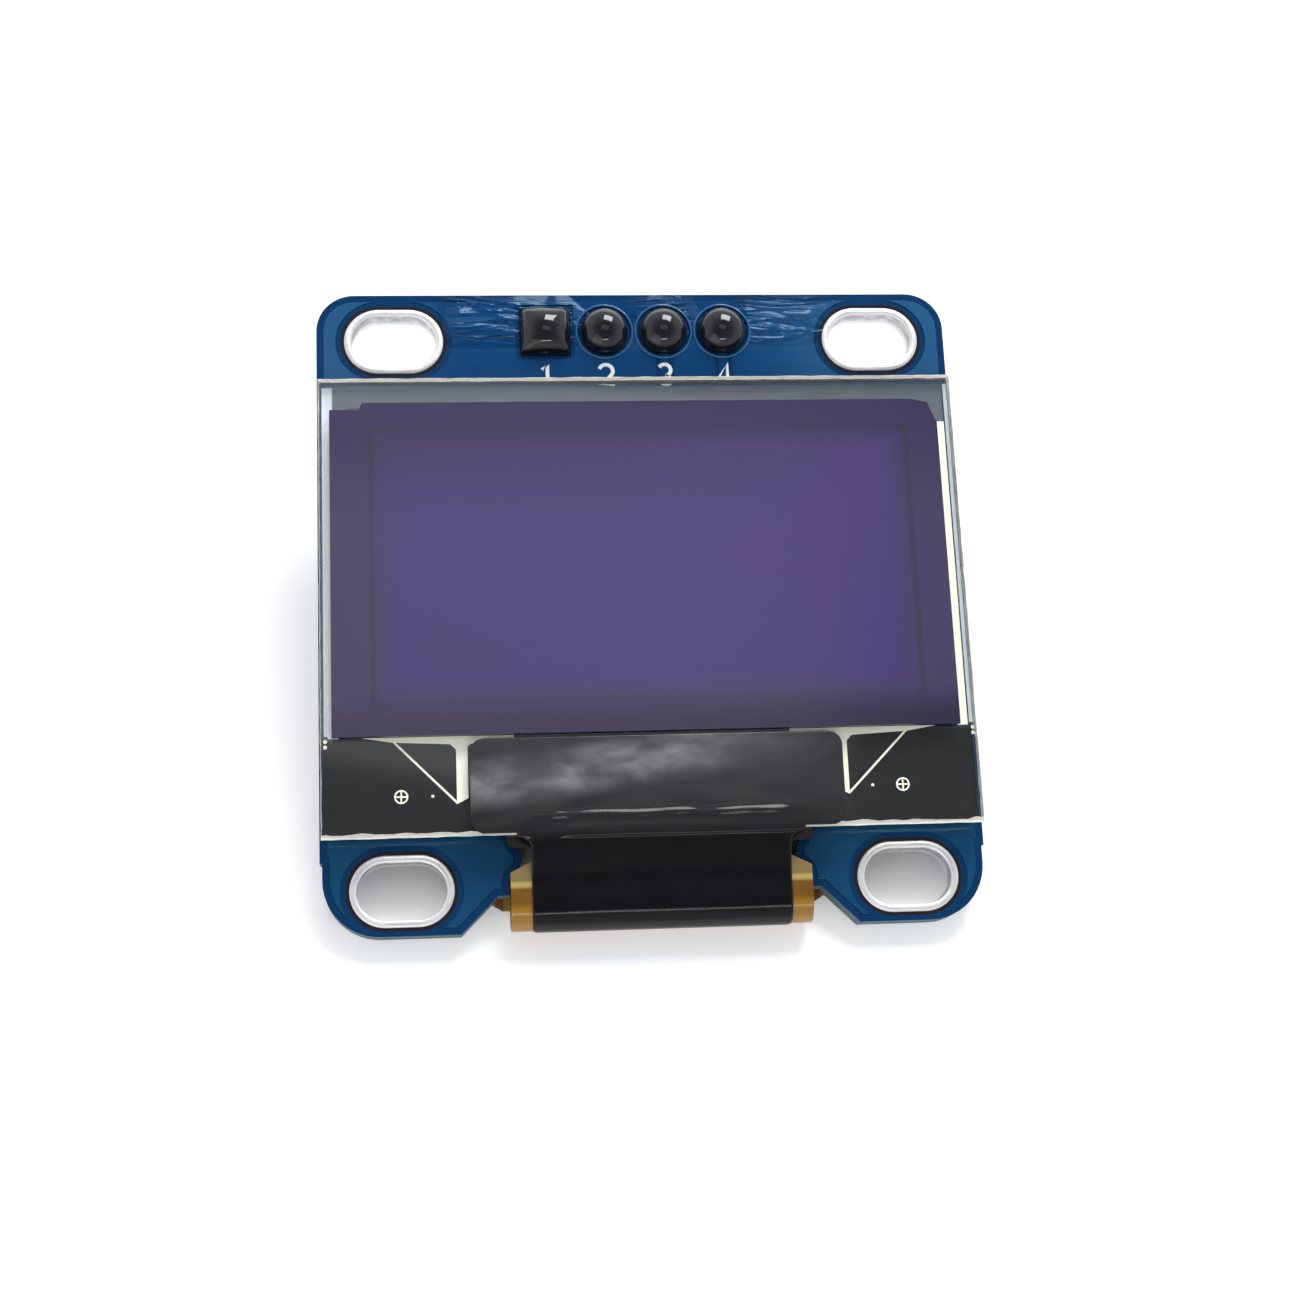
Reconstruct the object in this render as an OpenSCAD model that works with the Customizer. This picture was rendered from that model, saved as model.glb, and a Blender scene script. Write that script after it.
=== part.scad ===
// A small OLED display module: a glass display panel taped to a circuit board,
// with its flex tail folded round the board's lower edge and a four-pin header
// soldered in from the rear. The origin is the centre of the four mounting
// slots, on the board's front face. +Z points out of the display, +Y towards
// the header edge. Sizes are in millimetres. The lit area and the borders round
// it set the size of the glass, and the glass and its margins that of the board.

/* [Display panel] */
// Width of the lit area
active_w = 21.74; // [21:0.02:22.4]
// Height of the lit area
active_h = 10.86; // [10.5:0.02:11.2]
// Width of the glass border left and right of the lit area
side_border = 2.48; // [2.3:0.02:2.7]
// Width of the glass border above the lit area
top_border = 2.7; // [2.5:0.05:2.9]
// Width of the glass border between the lit area and the ledge
lower_border = 1.84; // [1.7:0.02:2]
// Height of the ledge, where the front glass reaches past the rear glass
ledge_h = 3.86; // [3.6:0.02:4.1]
// Thickness of the front glass, which carries the pixels
substrate_t = 0.55; // [0.4:0.05:0.7]
// Thickness of the rear glass, which seals the pixels in
cover_t = 0.6; // [0.5:0.05:0.8]
// Depth of the pocket in the rear glass
pocket_depth = 0.3; // [0.25:0.01:0.35]
// Gap between the seal and the pocket in the rear glass
pocket_gap = 0.2; // [0.1:0.02:0.3]
// Thickness of the seal between the two sheets
seal_t = 0.05; // [0.04:0.01:0.08]
// Distance of the seal from the edges of the rear glass
seal_inset = 0.3; // [0.2:0.05:0.4]
// Width of the seal
seal_w = 0.9; // [0.6:0.1:1]
// Thickness of the adhesive sheet behind the panel
adhesive_t = 0.1; // [0.06:0.01:0.2]
// Distance of the adhesive sheet from the edges of the rear glass
adhesive_inset = 0.8; // [0.5:0.1:1.5]
// Sideways offset of the panel from the board's middle
panel_x = -0.05; // [-0.1:0.01:0.1]

/* [Polarizer] */
// Thickness of the polarizer film
polarizer_t = 0.15; // [0.1:0.01:0.2]
// Top edge of the glass to the top edge of the film
film_drop = 1.15; // [1:0.05:1.3]
// Left edge of the glass to the left edge of the film
film_left = 0.48; // [0.4:0.02:0.6]
// Right edge of the film to the right edge of the glass
film_right = 0.72; // [0.6:0.02:0.8]
// Lower edge of the film to the ledge
film_rise = 0.15; // [0.1:0.01:0.25]
// Width of the low step at the film's upper left corner
film_step_w = 1.2; // [0.8:0.1:1.6]
// Depth of the low step at the film's upper left corner
film_step_h = 0.3; // [0.1:0.05:0.4]
// Size of the cut at the film's upper right corner
film_cut = 0.35; // [0.1:0.05:0.5]

/* [Layers inside the panel] */
// Thickness of the light-emitting layer
organic_t = 0.02; // [0.01:0.005:0.03]
// Thickness of the moisture-absorbing sheet
desiccant_t = 0.2; // [0.1:0.01:0.22]
// Gap between the moisture-absorbing sheet and the pocket's walls
desiccant_gap = 0.8; // [0.4:0.1:1.2]
// Length of the driver chip
chip_l = 6.8; // [6:0.1:10]
// Width of the driver chip
chip_w = 0.9; // [0.8:0.05:1.1]
// Thickness of the driver chip
chip_t = 0.3; // [0.25:0.01:0.4]

/* [Electrodes] */
// Thickness of the metal traces
trace_t = 0.02; // [0.01:0.005:0.03]
// Width of the trace bundle along each side of the panel
side_trace_w = 0.42; // [0.3:0.02:0.5]
// How far the side bundles reach above the lit area
side_trace_rise = 0.7; // [0.4:0.1:0.9]
// Width of the stem of each T-shaped electrode
stem_w = 0.46; // [0.3:0.02:0.6]
// Gap between the tape's bar and the middle of each stem
stem_gap = 0.17; // [0.15:0.01:0.3]
// How far the T's arm reaches inwards from the middle of its stem
arm_inner_l = 2.1; // [1.8:0.1:2.4]
// Edge of the panel to the outer tip of the T's arm
tip_inset = 1.65; // [1.5:0.05:2]
// Length of the tapering tip of the T's arm
tip_l = 1.2; // [1:0.1:1.4]
// Width of the T's arm
arm_w = 0.32; // [0.25:0.01:0.4]
// Ledge to the upper side of the T's arm
arm_rise = 0.2; // [0.1:0.02:0.3]
// Lower edge of the glass to the foot of the stem
foot_rise = 1.3; // [1.2:0.05:1.5]
// Width of the thin traces
fine_w = 0.06; // [0.04:0.01:0.08]
// Outside diameter of the round alignment mark
sight_d = 0.56; // [0.4:0.02:0.7]
// Gap between the alignment mark and the dot beside it
dot_gap = 1.25; // [1:0.05:1.4]

/* [Circuit board] */
// Header edge of the board to the top edge of the glass
header_band = 4.24; // [4.1:0.02:4.6]
// Lower edge of the glass to the tail edge of the board
tail_band = 3.8; // [3.7:0.02:4.2]
// Edge of the glass to the side of the board
side_margin = 0.15; // [0.1:0.01:0.4]
// Thickness of the circuit board
board_t = 1; // [0.8:0.1:1.6]
// Radius of the two corners beside the header
board_top_r = 1.6; // [0.5:0.1:2]
// Radius of the two corners beside the flex tail
board_bottom_r = 2.3; // [1:0.1:2.5]
// How far each long side steps in where the panel tabs were broken off
side_step = 0.1; // [0.05:0.01:0.2]
// Height of the stepped-in stretch of each long side
side_step_h = 3; // [2.6:0.1:3.4]

/* [Mounting slots] */
// Length of a mounting slot, end to end
slot_length = 3.6; // [3.2:0.1:4]
// Width of a mounting slot
slot_width = 2.3; // [2.1:0.1:2.5]
// Width of the tinned ring round a slot
slot_ring = 0.3; // [0.2:0.05:0.4]
// Board side to the centre of a slot
slot_from_side = 3.25; // [3.1:0.05:3.6]
// Header edge of the board to the centre of the upper slots
slot_from_top = 2.1; // [2.05:0.05:2.3]
// Tail edge of the board to the centre of the lower slots
slot_from_bottom = 1.8; // [1.75:0.05:2]
// Thickness of the plated and tinned copper, on pads and in holes
plating_t = 0.05; // [0.03:0.01:0.08]

/* [Notch for the flex tail] */
// Width of the notch where the tail folds through it
notch_w = 12.2; // [11.6:0.1:12.8]
// How far each rounded nub reaches into the notch
nub_reach = 0.5; // [0.3:0.05:0.6]
// Radius of the rounding on and below each nub
nub_r = 0.5; // [0.45:0.01:0.6]
// Length of the flat on the tip of each nub
nub_flat = 0.15; // [0.05:0.05:0.3]
// Lower edge of the glass to the middle of the nubs
nub_drop = 0.86; // [0.7:0.02:0.9]
// How far the notch reaches up behind the glass
notch_rise = 0.4; // [0.3:0.05:0.8]
// Height of the sloping mouth of the notch
mouth_h = 1.5; // [1.2:0.1:1.6]
// Width of the flat step between the mouth's slope and the notch
mouth_step = 0.45; // [0.3:0.05:0.6]

/* [Flex tail] */
// Thickness of the flex tail
flex_t = 0.1; // [0.08:0.01:0.14]
// Gap between the flex tail and each side of the notch
flex_gap = 0.03; // [0.02:0.01:0.2]
// How far the tail reaches under the front glass
bond_l = 1; // [0.8:0.1:1.2]
// How far the wide bonded part stands out on each side of the tail
bond_flare = 0.13; // [0.05:0.01:0.3]
// How far the wide bonded part shows below the glass
bond_out = 0.5; // [0.3:0.05:0.6]
// Corner radius of the bonded part
bond_r = 0.35; // [0.2:0.05:0.4]
// Gap between the tips of the nubs and the neck of the tail
neck_gap = 0.5; // [0.3:0.05:0.7]
// Tail edge of the board to the outside of the fold
fold_inset = 0.06; // [0:0.02:0.2]
// Sideways offset of the tail and the notch from the board's middle
tail_x = 0.12; // [0:0.02:0.2]
// Width of the step where the tail flares behind the board
flare_step = 0.3; // [0.1:0.05:0.5]
// Gap between the tail and the opening of a lower slot
flare_gap = 0.25; // [0.1:0.05:0.4]
// Length of the tail behind the board, from the fold to its end
tail_back_l = 5.6; // [5.2:0.1:6]
// Number of soldered contacts across the tail
contact_count = 30; // [24:1:31]
// Spacing of the soldered contacts
contact_pitch = 0.62; // [0.6:0.01:0.64]
// Width of one soldered contact
contact_w = 0.34; // [0.3:0.02:0.4]
// Width of bare tail beside the outer contacts
contact_margin = 0.7; // [0.4:0.05:1]
// Length of each contact's pad under the tail
contact_under = 1; // [0.6:0.1:1.4]
// Length of each contact's pad past the end of the tail
contact_ahead = 0.6; // [0.5:0.05:0.8]

/* [Light shield tape] */
// Thickness of the black tape
tape_t = 0.06; // [0.04:0.01:0.1]
// How far the tape's stem covers more than the neck of the tail, on each side
tape_over = 0.12; // [0.05:0.01:0.3]
// How far the tape's bar reaches past its stem, on each side
bar_reach = 2.33; // [2:0.01:2.6]
// Gap between the tape's bar and the ledge's upper edge
bar_gap = 0.2; // [0.15:0.01:0.4]
// Sideways offset of the tape's bar from the board's middle
bar_x = 0.07; // [0:0.01:0.15]
// Corner radius of the tape's bar
tape_r = 0.6; // [0.3:0.1:1]
// Corner radius of the tape's folded end
tape_end_r = 0.9; // [0.3:0.1:1]
// Length over which the stem slopes from the glass down to the tail
tape_slope_l = 0.7; // [0.5:0.05:0.9]
// How far round the fold the tape reaches, in degrees
tape_wrap = 118; // [110:1:150]

/* [Pin header] */
// Spacing of the header pins
pin_pitch = 2.54; // [2.5:0.01:2.6]
// Side of one square pin
pin_side = 0.64; // [0.5:0.01:0.66]
// Length of the blunt point of a pin
point_l = 0.5; // [0.3:0.05:0.8]
// Width of the blunt point of a pin
point_w = 0.32; // [0.2:0.02:0.4]
// Header edge of the board to the row of pins
pin_from_top = 1.7; // [1.6:0.02:1.8]
// Room between a pin's corners and its plated hole, across both sides
pin_hole_gap = 0.1; // [0.05:0.01:0.2]
// Width of the pad round each plated hole
pin_ring = 0.55; // [0.4:0.01:0.6]
// How much wider the square first pad is than the round ones
first_pad_extra = 0.05; // [0:0.01:0.1]
// How far a solder joint stays inside the edge of its round pad
solder_inset = 0.02; // [0:0.01:0.1]
// Height of a solder joint above its pad
solder_h = 0.8; // [0.75:0.05:1]
// Length of pin in front of the board
pin_tail = 0.6; // [0.5:0.05:0.65]
// Length of pin that plugs into a socket
pin_mate = 6; // [5:0.5:8]
// Height of the header's plastic strip
strip_h = 2.5; // [2:0.1:3]
// Width of the header's plastic strip
strip_w = 2.5; // [2.3:0.05:2.7]
// Bevel of the strip between neighbouring pins
strip_bevel = 0.4; // [0.2:0.05:0.5]

/* [Chip parts on the rear] */
// Length of a chip capacitor or resistor
part_l = 1.6; // [1.5:0.05:1.7]
// Width of a chip capacitor or resistor
part_w = 0.8; // [0.7:0.05:0.9]
// Height of a chip capacitor
capacitor_h = 0.8; // [0.6:0.05:0.9]
// Height of a chip resistor
resistor_h = 0.45; // [0.4:0.05:0.55]
// Length of the metal terminal at each end of a chip part
terminal_l = 0.3; // [0.2:0.05:0.4]
// How far a pad reaches past the end of its chip part
pad_reach = 0.35; // [0.25:0.05:0.5]
// How far a pad reaches past the sides of its chip part
pad_side = 0.05; // [0:0.01:0.1]
// Spacing of the capacitors along their row
capacitor_pitch = 3.8; // [3:0.1:4.2]
// Spacing of the resistors along their row
resistor_pitch = 3.2; // [2.6:0.1:3.4]
// Row of moulded parts to the row of capacitors
capacitor_drop = 3.8; // [3.4:0.1:4.2]
// Row of capacitors to the row of resistors
resistor_drop = 5; // [3:0.1:5.4]

/* [Moulded parts on the rear] */
// Header strip to the middle of the regulator and the diode
moulded_drop = 2.75; // [2.5:0.05:3]
// Middle of the board to the middle of the regulator
regulator_x = 7; // [6:0.1:9]
// Middle of the board to the middle of the diode
diode_x = 7; // [6:0.1:9]
// Length of the regulator's body
regulator_l = 2.9; // [2.7:0.1:3.1]
// Width of the regulator's body
regulator_w = 1.3; // [1.2:0.1:1.6]
// Height of the regulator's body
regulator_h = 0.95; // [0.8:0.05:1.1]
// Spacing of the regulator's leads
regulator_pitch = 0.95; // [0.8:0.05:1.1]
// Width of a lead of the regulator
regulator_lead_w = 0.4; // [0.3:0.05:0.5]
// Length of the diode's body
diode_l = 1.7; // [1.6:0.1:1.9]
// Width of the diode's body
diode_w = 1.25; // [1.2:0.05:1.4]
// Height of the diode's body
diode_h = 0.85; // [0.7:0.05:1]
// Width of a lead of the diode
diode_lead_w = 0.3; // [0.2:0.05:0.4]
// Thickness of the leads
lead_t = 0.12; // [0.08:0.01:0.15]
// Distance from the body to the bend of a lead
lead_run = 0.2; // [0.15:0.01:0.3]
// Length of the foot of a lead
foot_l = 0.35; // [0.25:0.05:0.5]
// Gap under a moulded body
body_lift = 0.05; // [0.02:0.01:0.1]
// Inset of the bevelled sides of a moulded body
body_bevel = 0.08; // [0.04:0.01:0.12]

/* [Hidden] */
$fn = 48;
over = 0.5;                       // how far a cutting tool runs past the face it cuts
pin_count = 4;
capacitor_count = 5;
resistor_count = 6;

// The two sheets of glass
panel_w = active_w + 2 * side_border;
cover_h = top_border + active_h + lower_border;
panel_h = cover_h + ledge_h;

// The board, and its edges measured from the centre of the four slots
board_w = panel_w + 2 * side_margin;
board_h = header_band + panel_h + tail_band;
slot_span_x = board_w - 2 * slot_from_side;
slot_span_y = board_h - slot_from_top - slot_from_bottom;
board_top = slot_span_y / 2 + slot_from_top;
board_bottom = board_top - board_h;
rear_z = -board_t;
rear_pad_z = rear_z - plating_t;

// The panel's edges and its layers, from the board's front face forwards
panel_top = board_top - header_band;
panel_bottom = panel_top - panel_h;
cover_bottom = panel_top - cover_h;
active_top = panel_top - top_border;
cover_z = adhesive_t;
seal_z = cover_z + cover_t;
substrate_z = seal_z + seal_t;
front_z = substrate_z + substrate_t;
pocket_rim = seal_inset + seal_w + pocket_gap;

// The tail: its front run lies against the glass, its rear run on the rear pads
flex_w = notch_w - 2 * flex_gap;
bond_w = flex_w + 2 * bond_flare;
neck_w = notch_w - 2 * (nub_reach + neck_gap);
tail_end_w = contact_count * contact_pitch + 2 * contact_margin;
flex_front_z = substrate_z;                       // front face of the front run
flex_rear_z = rear_pad_z - flex_t;                // rear face of the rear run
fold_r = (flex_front_z - flex_rear_z) / 2;        // outside radius of the fold
fold_z = (flex_front_z + flex_rear_z) / 2;
fold_y = board_bottom + fold_inset + fold_r;
run_lap = 1.2 * fold_r;                           // straight stretch drawn with the fold
nub_y = panel_bottom - nub_drop;
bond_end_y = panel_bottom - bond_out;
shoulder_y = nub_y - nub_flat;
tail_end_y = fold_y + tail_back_l;

// The black tape
tape_stem_w = neck_w + 2 * tape_over;
bar_w = tape_stem_w + 2 * bar_reach;
bar_h = ledge_h - bar_gap;

// The header row and the rows of small parts on the rear
pin_hole_d = pin_side * sqrt(2) + pin_hole_gap;
pin_pad_d = pin_hole_d + 2 * pin_ring;
first_pad_w = pin_pad_d + first_pad_extra;
pin_y = board_top - pin_from_top;
moulded_y = pin_y - strip_w / 2 - moulded_drop;
capacitor_y = moulded_y - capacitor_drop;
resistor_y = capacitor_y - resistor_drop;

SLOTS = [[-1, 1], [1, 1], [-1, -1], [1, -1]];

// ---- Shapes used more than once ----

// Points along an arc about c, from angle a to angle b
function arc(c, r, a, b, steps = 6) =
    [for (i = [0:steps]) let (t = a + (b - a) * i / steps) c + r * [cos(t), sin(t)]];

// The same points seen in a mirror that swaps left and right, in reverse order
function mirrored(points) = [for (i = [len(points) - 1:-1:0]) [-points[i][0], points[i][1]]];

module plate(z, thickness) {
    translate([0, 0, z]) linear_extrude(thickness) children();
}

module stadium(length, width) {
    square([length - width, width], center = true);
    for (side = [-1, 1]) translate([side * (length - width) / 2, 0]) circle(d = width);
}

module rounded_bar(width, height, r) {
    square([width - 2 * r, height], center = true);
    square([width, height - 2 * r], center = true);
    for (x = [-1, 1], y = [-1, 1])
        translate([x * (width / 2 - r), y * (height / 2 - r)]) circle(r = r);
}

// A profile drawn in the Y-Z plane, made into a bar along X
module along_x(width) {
    translate([-width / 2, 0, 0]) rotate([90, 0, 90]) linear_extrude(width) children();
}

function pin_x(i) = (i - (pin_count - 1) / 2) * pin_pitch;
function slot_at(i) = [SLOTS[i][0] * slot_span_x / 2, SLOTS[i][1] * slot_span_y / 2];
function capacitor_at(i) = [(i - (capacitor_count - 1) / 2) * capacitor_pitch, capacitor_y];
function resistor_at(i) = [(i - (resistor_count - 1) / 2) * resistor_pitch, resistor_y];
function contact_x(i) = tail_x + (i - (contact_count - 1) / 2) * contact_pitch;

// ---- Circuit board ----

module board_outline() {
    narrow_w = board_w - 2 * side_step;
    translate([0, board_top - board_top_r]) stadium(board_w, 2 * board_top_r);
    translate([-board_w / 2, board_bottom + side_step_h])
        square([board_w, board_h - side_step_h - board_top_r]);
    translate([-narrow_w / 2, board_bottom + board_bottom_r]) square([narrow_w, side_step_h]);
    translate([0, board_bottom + board_bottom_r]) stadium(narrow_w, 2 * board_bottom_r);
}

// Right half of the notch: sloping mouth, step, S-curve over the nub, closed end
function notch_half() =
    let (wall = notch_w / 2, tip = wall - nub_reach, r = nub_r, swing = acos(1 - nub_reach / (2 * r)),
         step_y = board_bottom + mouth_h, drop = 2 * r * sin(swing), low_y = nub_y - nub_flat / 2,
         end_y = panel_bottom + notch_rise, end_r = notch_rise / 2)
    concat(
        [[wall + mouth_step + mouth_h + over, board_bottom - over],
         [wall + mouth_step, step_y], [wall, step_y]],
        arc([wall - r, low_y - drop], r, 0, swing),
        arc([tip + r, low_y], r, 180 + swing, 180),
        arc([tip + r, low_y + nub_flat], r, 180, 180 - swing),
        arc([wall - end_r, end_y - end_r], end_r, 0, 90));

module tail_notch() {
    translate([tail_x, 0]) polygon(concat(notch_half(), mirrored(notch_half())));
}

module circuit_board() {
    color("#1c4f86")
    plate(rear_z, board_t)
        difference() {
            board_outline();
            tail_notch();
            for (i = [0:3])
                translate(slot_at(i)) stadium(slot_length + 2 * plating_t, slot_width + 2 * plating_t);
            for (i = [0:pin_count - 1])
                translate([pin_x(i), pin_y]) circle(d = pin_hole_d + 2 * plating_t);
        }
}

// A plated hole: a barrel through the board with a pad on each face.
// The first child is the hole, the second the barrel's outside, the third the pad.
module plated_hole() {
    plate(rear_pad_z, board_t + 2 * plating_t) difference() { children(1); children(0); }
    for (z = [rear_pad_z, 0]) plate(z, plating_t) difference() { children(2); children(0); }
}

module slot_lining(i) {
    color("#d9dcdf")
    translate(slot_at(i))
        plated_hole() {
            stadium(slot_length, slot_width);
            stadium(slot_length + 2 * plating_t, slot_width + 2 * plating_t);
            stadium(slot_length + 2 * slot_ring, slot_width + 2 * slot_ring);
        }
}

// ---- Pin header ----

module pad_outline(i) {
    if (i == 0) square(first_pad_w, center = true);
    else circle(d = pin_pad_d);
}

module header_pad(i) {
    color("#c9ccd0")
    translate([pin_x(i), pin_y])
        plated_hole() {
            circle(d = pin_hole_d);
            circle(d = pin_hole_d + 2 * plating_t);
            pad_outline(i);
        }
}

// Profile of a domed joint that is w wide at its foot: an arc over a flat base
module dome_profile(w, h) {
    r = (w * w / 4 + h * h) / (2 * h);
    intersection() {
        translate([0, h - r]) circle(r = r);
        translate([-w, 0]) square([2 * w, 2 * r]);
    }
}

// The first joint swells over a square pad, the others over round ones
module solder_dome(i) {
    if (i == 0)
        intersection_for(turn = [0, 90])
            rotate([90, 0, turn]) linear_extrude(2 * first_pad_w, center = true)
                dome_profile(first_pad_w, solder_h);
    else
        rotate_extrude() intersection() {
            dome_profile(pin_pad_d - 2 * solder_inset, solder_h);
            square(pin_pad_d);
        }
}

module solder_joint(i) {
    color("#33383d")
    translate([pin_x(i), pin_y, 0])
        difference() {
            union() {
                translate([0, 0, plating_t]) solder_dome(i);
                translate([0, 0, rear_pad_z]) cylinder(d = pin_hole_d, h = board_t + 2 * plating_t);
            }
            translate([0, 0, rear_pad_z - over])
                linear_extrude(pin_tail - rear_pad_z + over) square(pin_side, center = true);
        }
}

// A square pin whose lower end is cut to a blunt point
module header_pin(i) {
    pin_l = pin_tail - rear_pad_z + strip_h + pin_mate;
    color("#d8b35a")
    translate([pin_x(i), pin_y, pin_tail - pin_l])
        intersection_for(turn = [0, 90])
            rotate([90, 0, turn]) linear_extrude(pin_side, center = true)
                polygon([[-point_w / 2, 0], [point_w / 2, 0], [pin_side / 2, point_l],
                         [pin_side / 2, pin_l], [-pin_side / 2, pin_l], [-pin_side / 2, point_l]]);
}

// The plastic strip has a bevelled waist between neighbouring pins
module header_strip() {
    bevel = strip_bevel;
    half_p = pin_pitch / 2;
    half_w = strip_w / 2;
    cell = [[-half_p, -half_w + bevel], [-half_p + bevel, -half_w], [half_p - bevel, -half_w],
            [half_p, -half_w + bevel], [half_p, half_w - bevel], [half_p - bevel, half_w],
            [-half_p + bevel, half_w], [-half_p, half_w - bevel]];
    color("#1b1b1d")
    translate([0, pin_y, 0])
        plate(rear_pad_z - strip_h, strip_h)
            difference() {
                for (i = [0:pin_count - 1]) translate([pin_x(i), 0]) polygon(cell);
                for (i = [0:pin_count - 1]) translate([pin_x(i), 0]) square(pin_side, center = true);
            }
}

// ---- Display panel ----

// A sheet as wide as the panel less a margin, hung from the panel's top edge
module panel_sheet(height, margin) {
    translate([panel_x - panel_w / 2 + margin, panel_top - height + margin])
        square([panel_w - 2 * margin, height - 2 * margin]);
}

module panel_adhesive() {
    color("#e8e4d4") plate(0, adhesive_t) panel_sheet(cover_h, adhesive_inset);
}

module cover_glass() {
    color("#9fb4bf")
    difference() {
        plate(cover_z, cover_t) panel_sheet(cover_h, 0);
        plate(seal_z - pocket_depth, pocket_depth + over) panel_sheet(cover_h, pocket_rim);
    }
}

module desiccant() {
    color("#e9e9ea")
    plate(seal_z - pocket_depth, desiccant_t) panel_sheet(cover_h, pocket_rim + desiccant_gap);
}

module edge_seal() {
    color("#cfc9ae")
    plate(seal_z, seal_t)
        difference() {
            panel_sheet(cover_h, seal_inset);
            panel_sheet(cover_h, seal_inset + seal_w);
            trace_outline();
        }
}

module organic_layer() {
    color("#3b3560")
    plate(substrate_z - organic_t, organic_t)
        translate([panel_x - active_w / 2, active_top - active_h]) square([active_w, active_h]);
}

// One half of the electrodes: side bundle, T with a tapering arm, diagonal, sight
module trace_half() {
    arm_y = cover_bottom + arm_rise;
    foot_y = panel_bottom + foot_rise;
    stem_x = bar_w / 2 + stem_gap;
    tip_x = panel_w / 2 - tip_inset;
    stem_out = stem_x + stem_w / 2;
    stem_in = stem_x - stem_w / 2;
    taper_x = tip_x - tip_l;
    side_x = panel_w / 2 - seal_inset - side_trace_w;
    sight_at = [taper_x - fine_w - sight_d / 2, foot_y + sight_d / 2 + fine_w];
    translate([side_x, arm_y]) square([side_trace_w, active_top - arm_y + side_trace_rise]);
    polygon([[stem_x - arm_inner_l, arm_y], [tip_x, arm_y], [taper_x, arm_y - arm_w + 2 * fine_w],
             [stem_out + stem_w / 2, arm_y - arm_w], [stem_out, arm_y - arm_w - stem_w / 2],
             [stem_out, foot_y], [stem_in, foot_y + stem_w / 2],
             [stem_in, arm_y - arm_w - stem_w / 4], [stem_in - stem_w / 4, arm_y - arm_w],
             [stem_x - arm_inner_l, arm_y - arm_w]]);
    polygon([[taper_x, arm_y - fine_w], [taper_x + 2 * fine_w, arm_y - fine_w],
             [stem_out, foot_y], [stem_out - fine_w, foot_y + fine_w]]);
    translate(sight_at) {
        difference() {
            circle(d = sight_d);
            circle(d = sight_d - 2 * fine_w);
        }
        square([sight_d - fine_w, fine_w], center = true);
        square([fine_w, sight_d - fine_w], center = true);
    }
    translate(sight_at - [dot_gap, 0]) circle(d = 2 * fine_w);
}

module trace_outline() {
    translate([panel_x, 0])
        for (side = [0, 1]) mirror([side, 0]) trace_half();
}

module electrode_traces() {
    color("#e6e2cf") plate(substrate_z - trace_t, trace_t) trace_outline();
}

module substrate_glass() {
    color("#8fa5b2") plate(substrate_z, substrate_t) panel_sheet(panel_h, 0);
}

module polarizer() {
    left = panel_x - panel_w / 2 + film_left;
    right = panel_x + panel_w / 2 - film_right;
    top = panel_top - film_drop;
    bottom = cover_bottom + film_rise;
    color("#4c4575")
    plate(front_z, polarizer_t)
        polygon([[left, bottom], [right, bottom], [right, top - 3 * film_cut],
                 [right - film_cut / 2, top - 2 * film_cut], [right - film_cut, top - film_cut / 2],
                 [right - 3 * film_cut, top], [left + film_step_w + film_step_h / 2, top],
                 [left + film_step_w, top - film_step_h], [left, top - film_step_h]]);
}

module driver_chip() {
    ledge_mid_y = (cover_bottom + panel_bottom + bond_l) / 2;
    color("#5b6068")
    translate([panel_x - chip_l / 2, ledge_mid_y - chip_w / 2, substrate_z - chip_t])
        cube([chip_l, chip_w, chip_t]);
}

// ---- Flex tail ----

// Side view of the fold out to radius r, with a short stretch of both straight runs
module fold_side(r) {
    circle(r = r);
    translate([0, -r]) square([run_lap, 2 * r]);
}

// A strip bent round the fold through an angle, from the front run backwards
module folded_strip(width, outside_r, thickness, angle) {
    cut = 2 * outside_r;
    along_x(width) translate([fold_y, fold_z])
        difference() {
            fold_side(outside_r);
            fold_side(outside_r - thickness);
            if (angle < 180)
                polygon([[0, 0], cut * [-sin(angle), cos(angle)], [-cut, -cut], [cut, -cut], [cut, 0]]);
        }
}

// Right half of the front run: wide bond, neck between the nubs, shoulder
function flex_front_half() =
    let (bond = bond_w / 2, r = bond_r, neck = neck_w / 2, rise = flex_w / 2 - neck_w / 2)
    concat(
        [[flex_w / 2, fold_y], [flex_w / 2, shoulder_y - rise / 2], [neck, shoulder_y],
         [neck, bond_end_y]],
        arc([bond - r, bond_end_y + r], r, -90, 0),
        [[bond, panel_bottom + bond_l]]);

// Right half of the rear run: it flares round the lower slot to the soldered end
function flex_rear_half() =
    let (wide = tail_end_w / 2, half = flex_w / 2, r = slot_width / 2 + flare_gap,
         slot_end = [slot_span_x / 2 - (slot_length - slot_width) / 2 - tail_x, -slot_span_y / 2])
    concat(
        [[half, fold_y], [half + flare_step, fold_y]],
        arc(slot_end, r, 170, 90),
        [[wide, slot_end[1] + r], [wide, tail_end_y]]);

module flex_tail() {
    color("#a8701c")
    translate([tail_x, 0, 0]) {
        plate(flex_front_z - flex_t, flex_t)
            polygon(concat(flex_front_half(), mirrored(flex_front_half())));
        plate(flex_rear_z, flex_t)
            polygon(concat(flex_rear_half(), mirrored(flex_rear_half())));
        folded_strip(flex_w, fold_r, flex_t, 180);
    }
}

// The contacts of the tail: pads on the board, and the solder along the tail's end
module tail_pads() {
    color("#c9ccd0")
    for (i = [0:contact_count - 1])
        translate([contact_x(i) - contact_w / 2, tail_end_y - contact_under, rear_pad_z])
            cube([contact_w, contact_under + contact_ahead, plating_t]);
}

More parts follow.
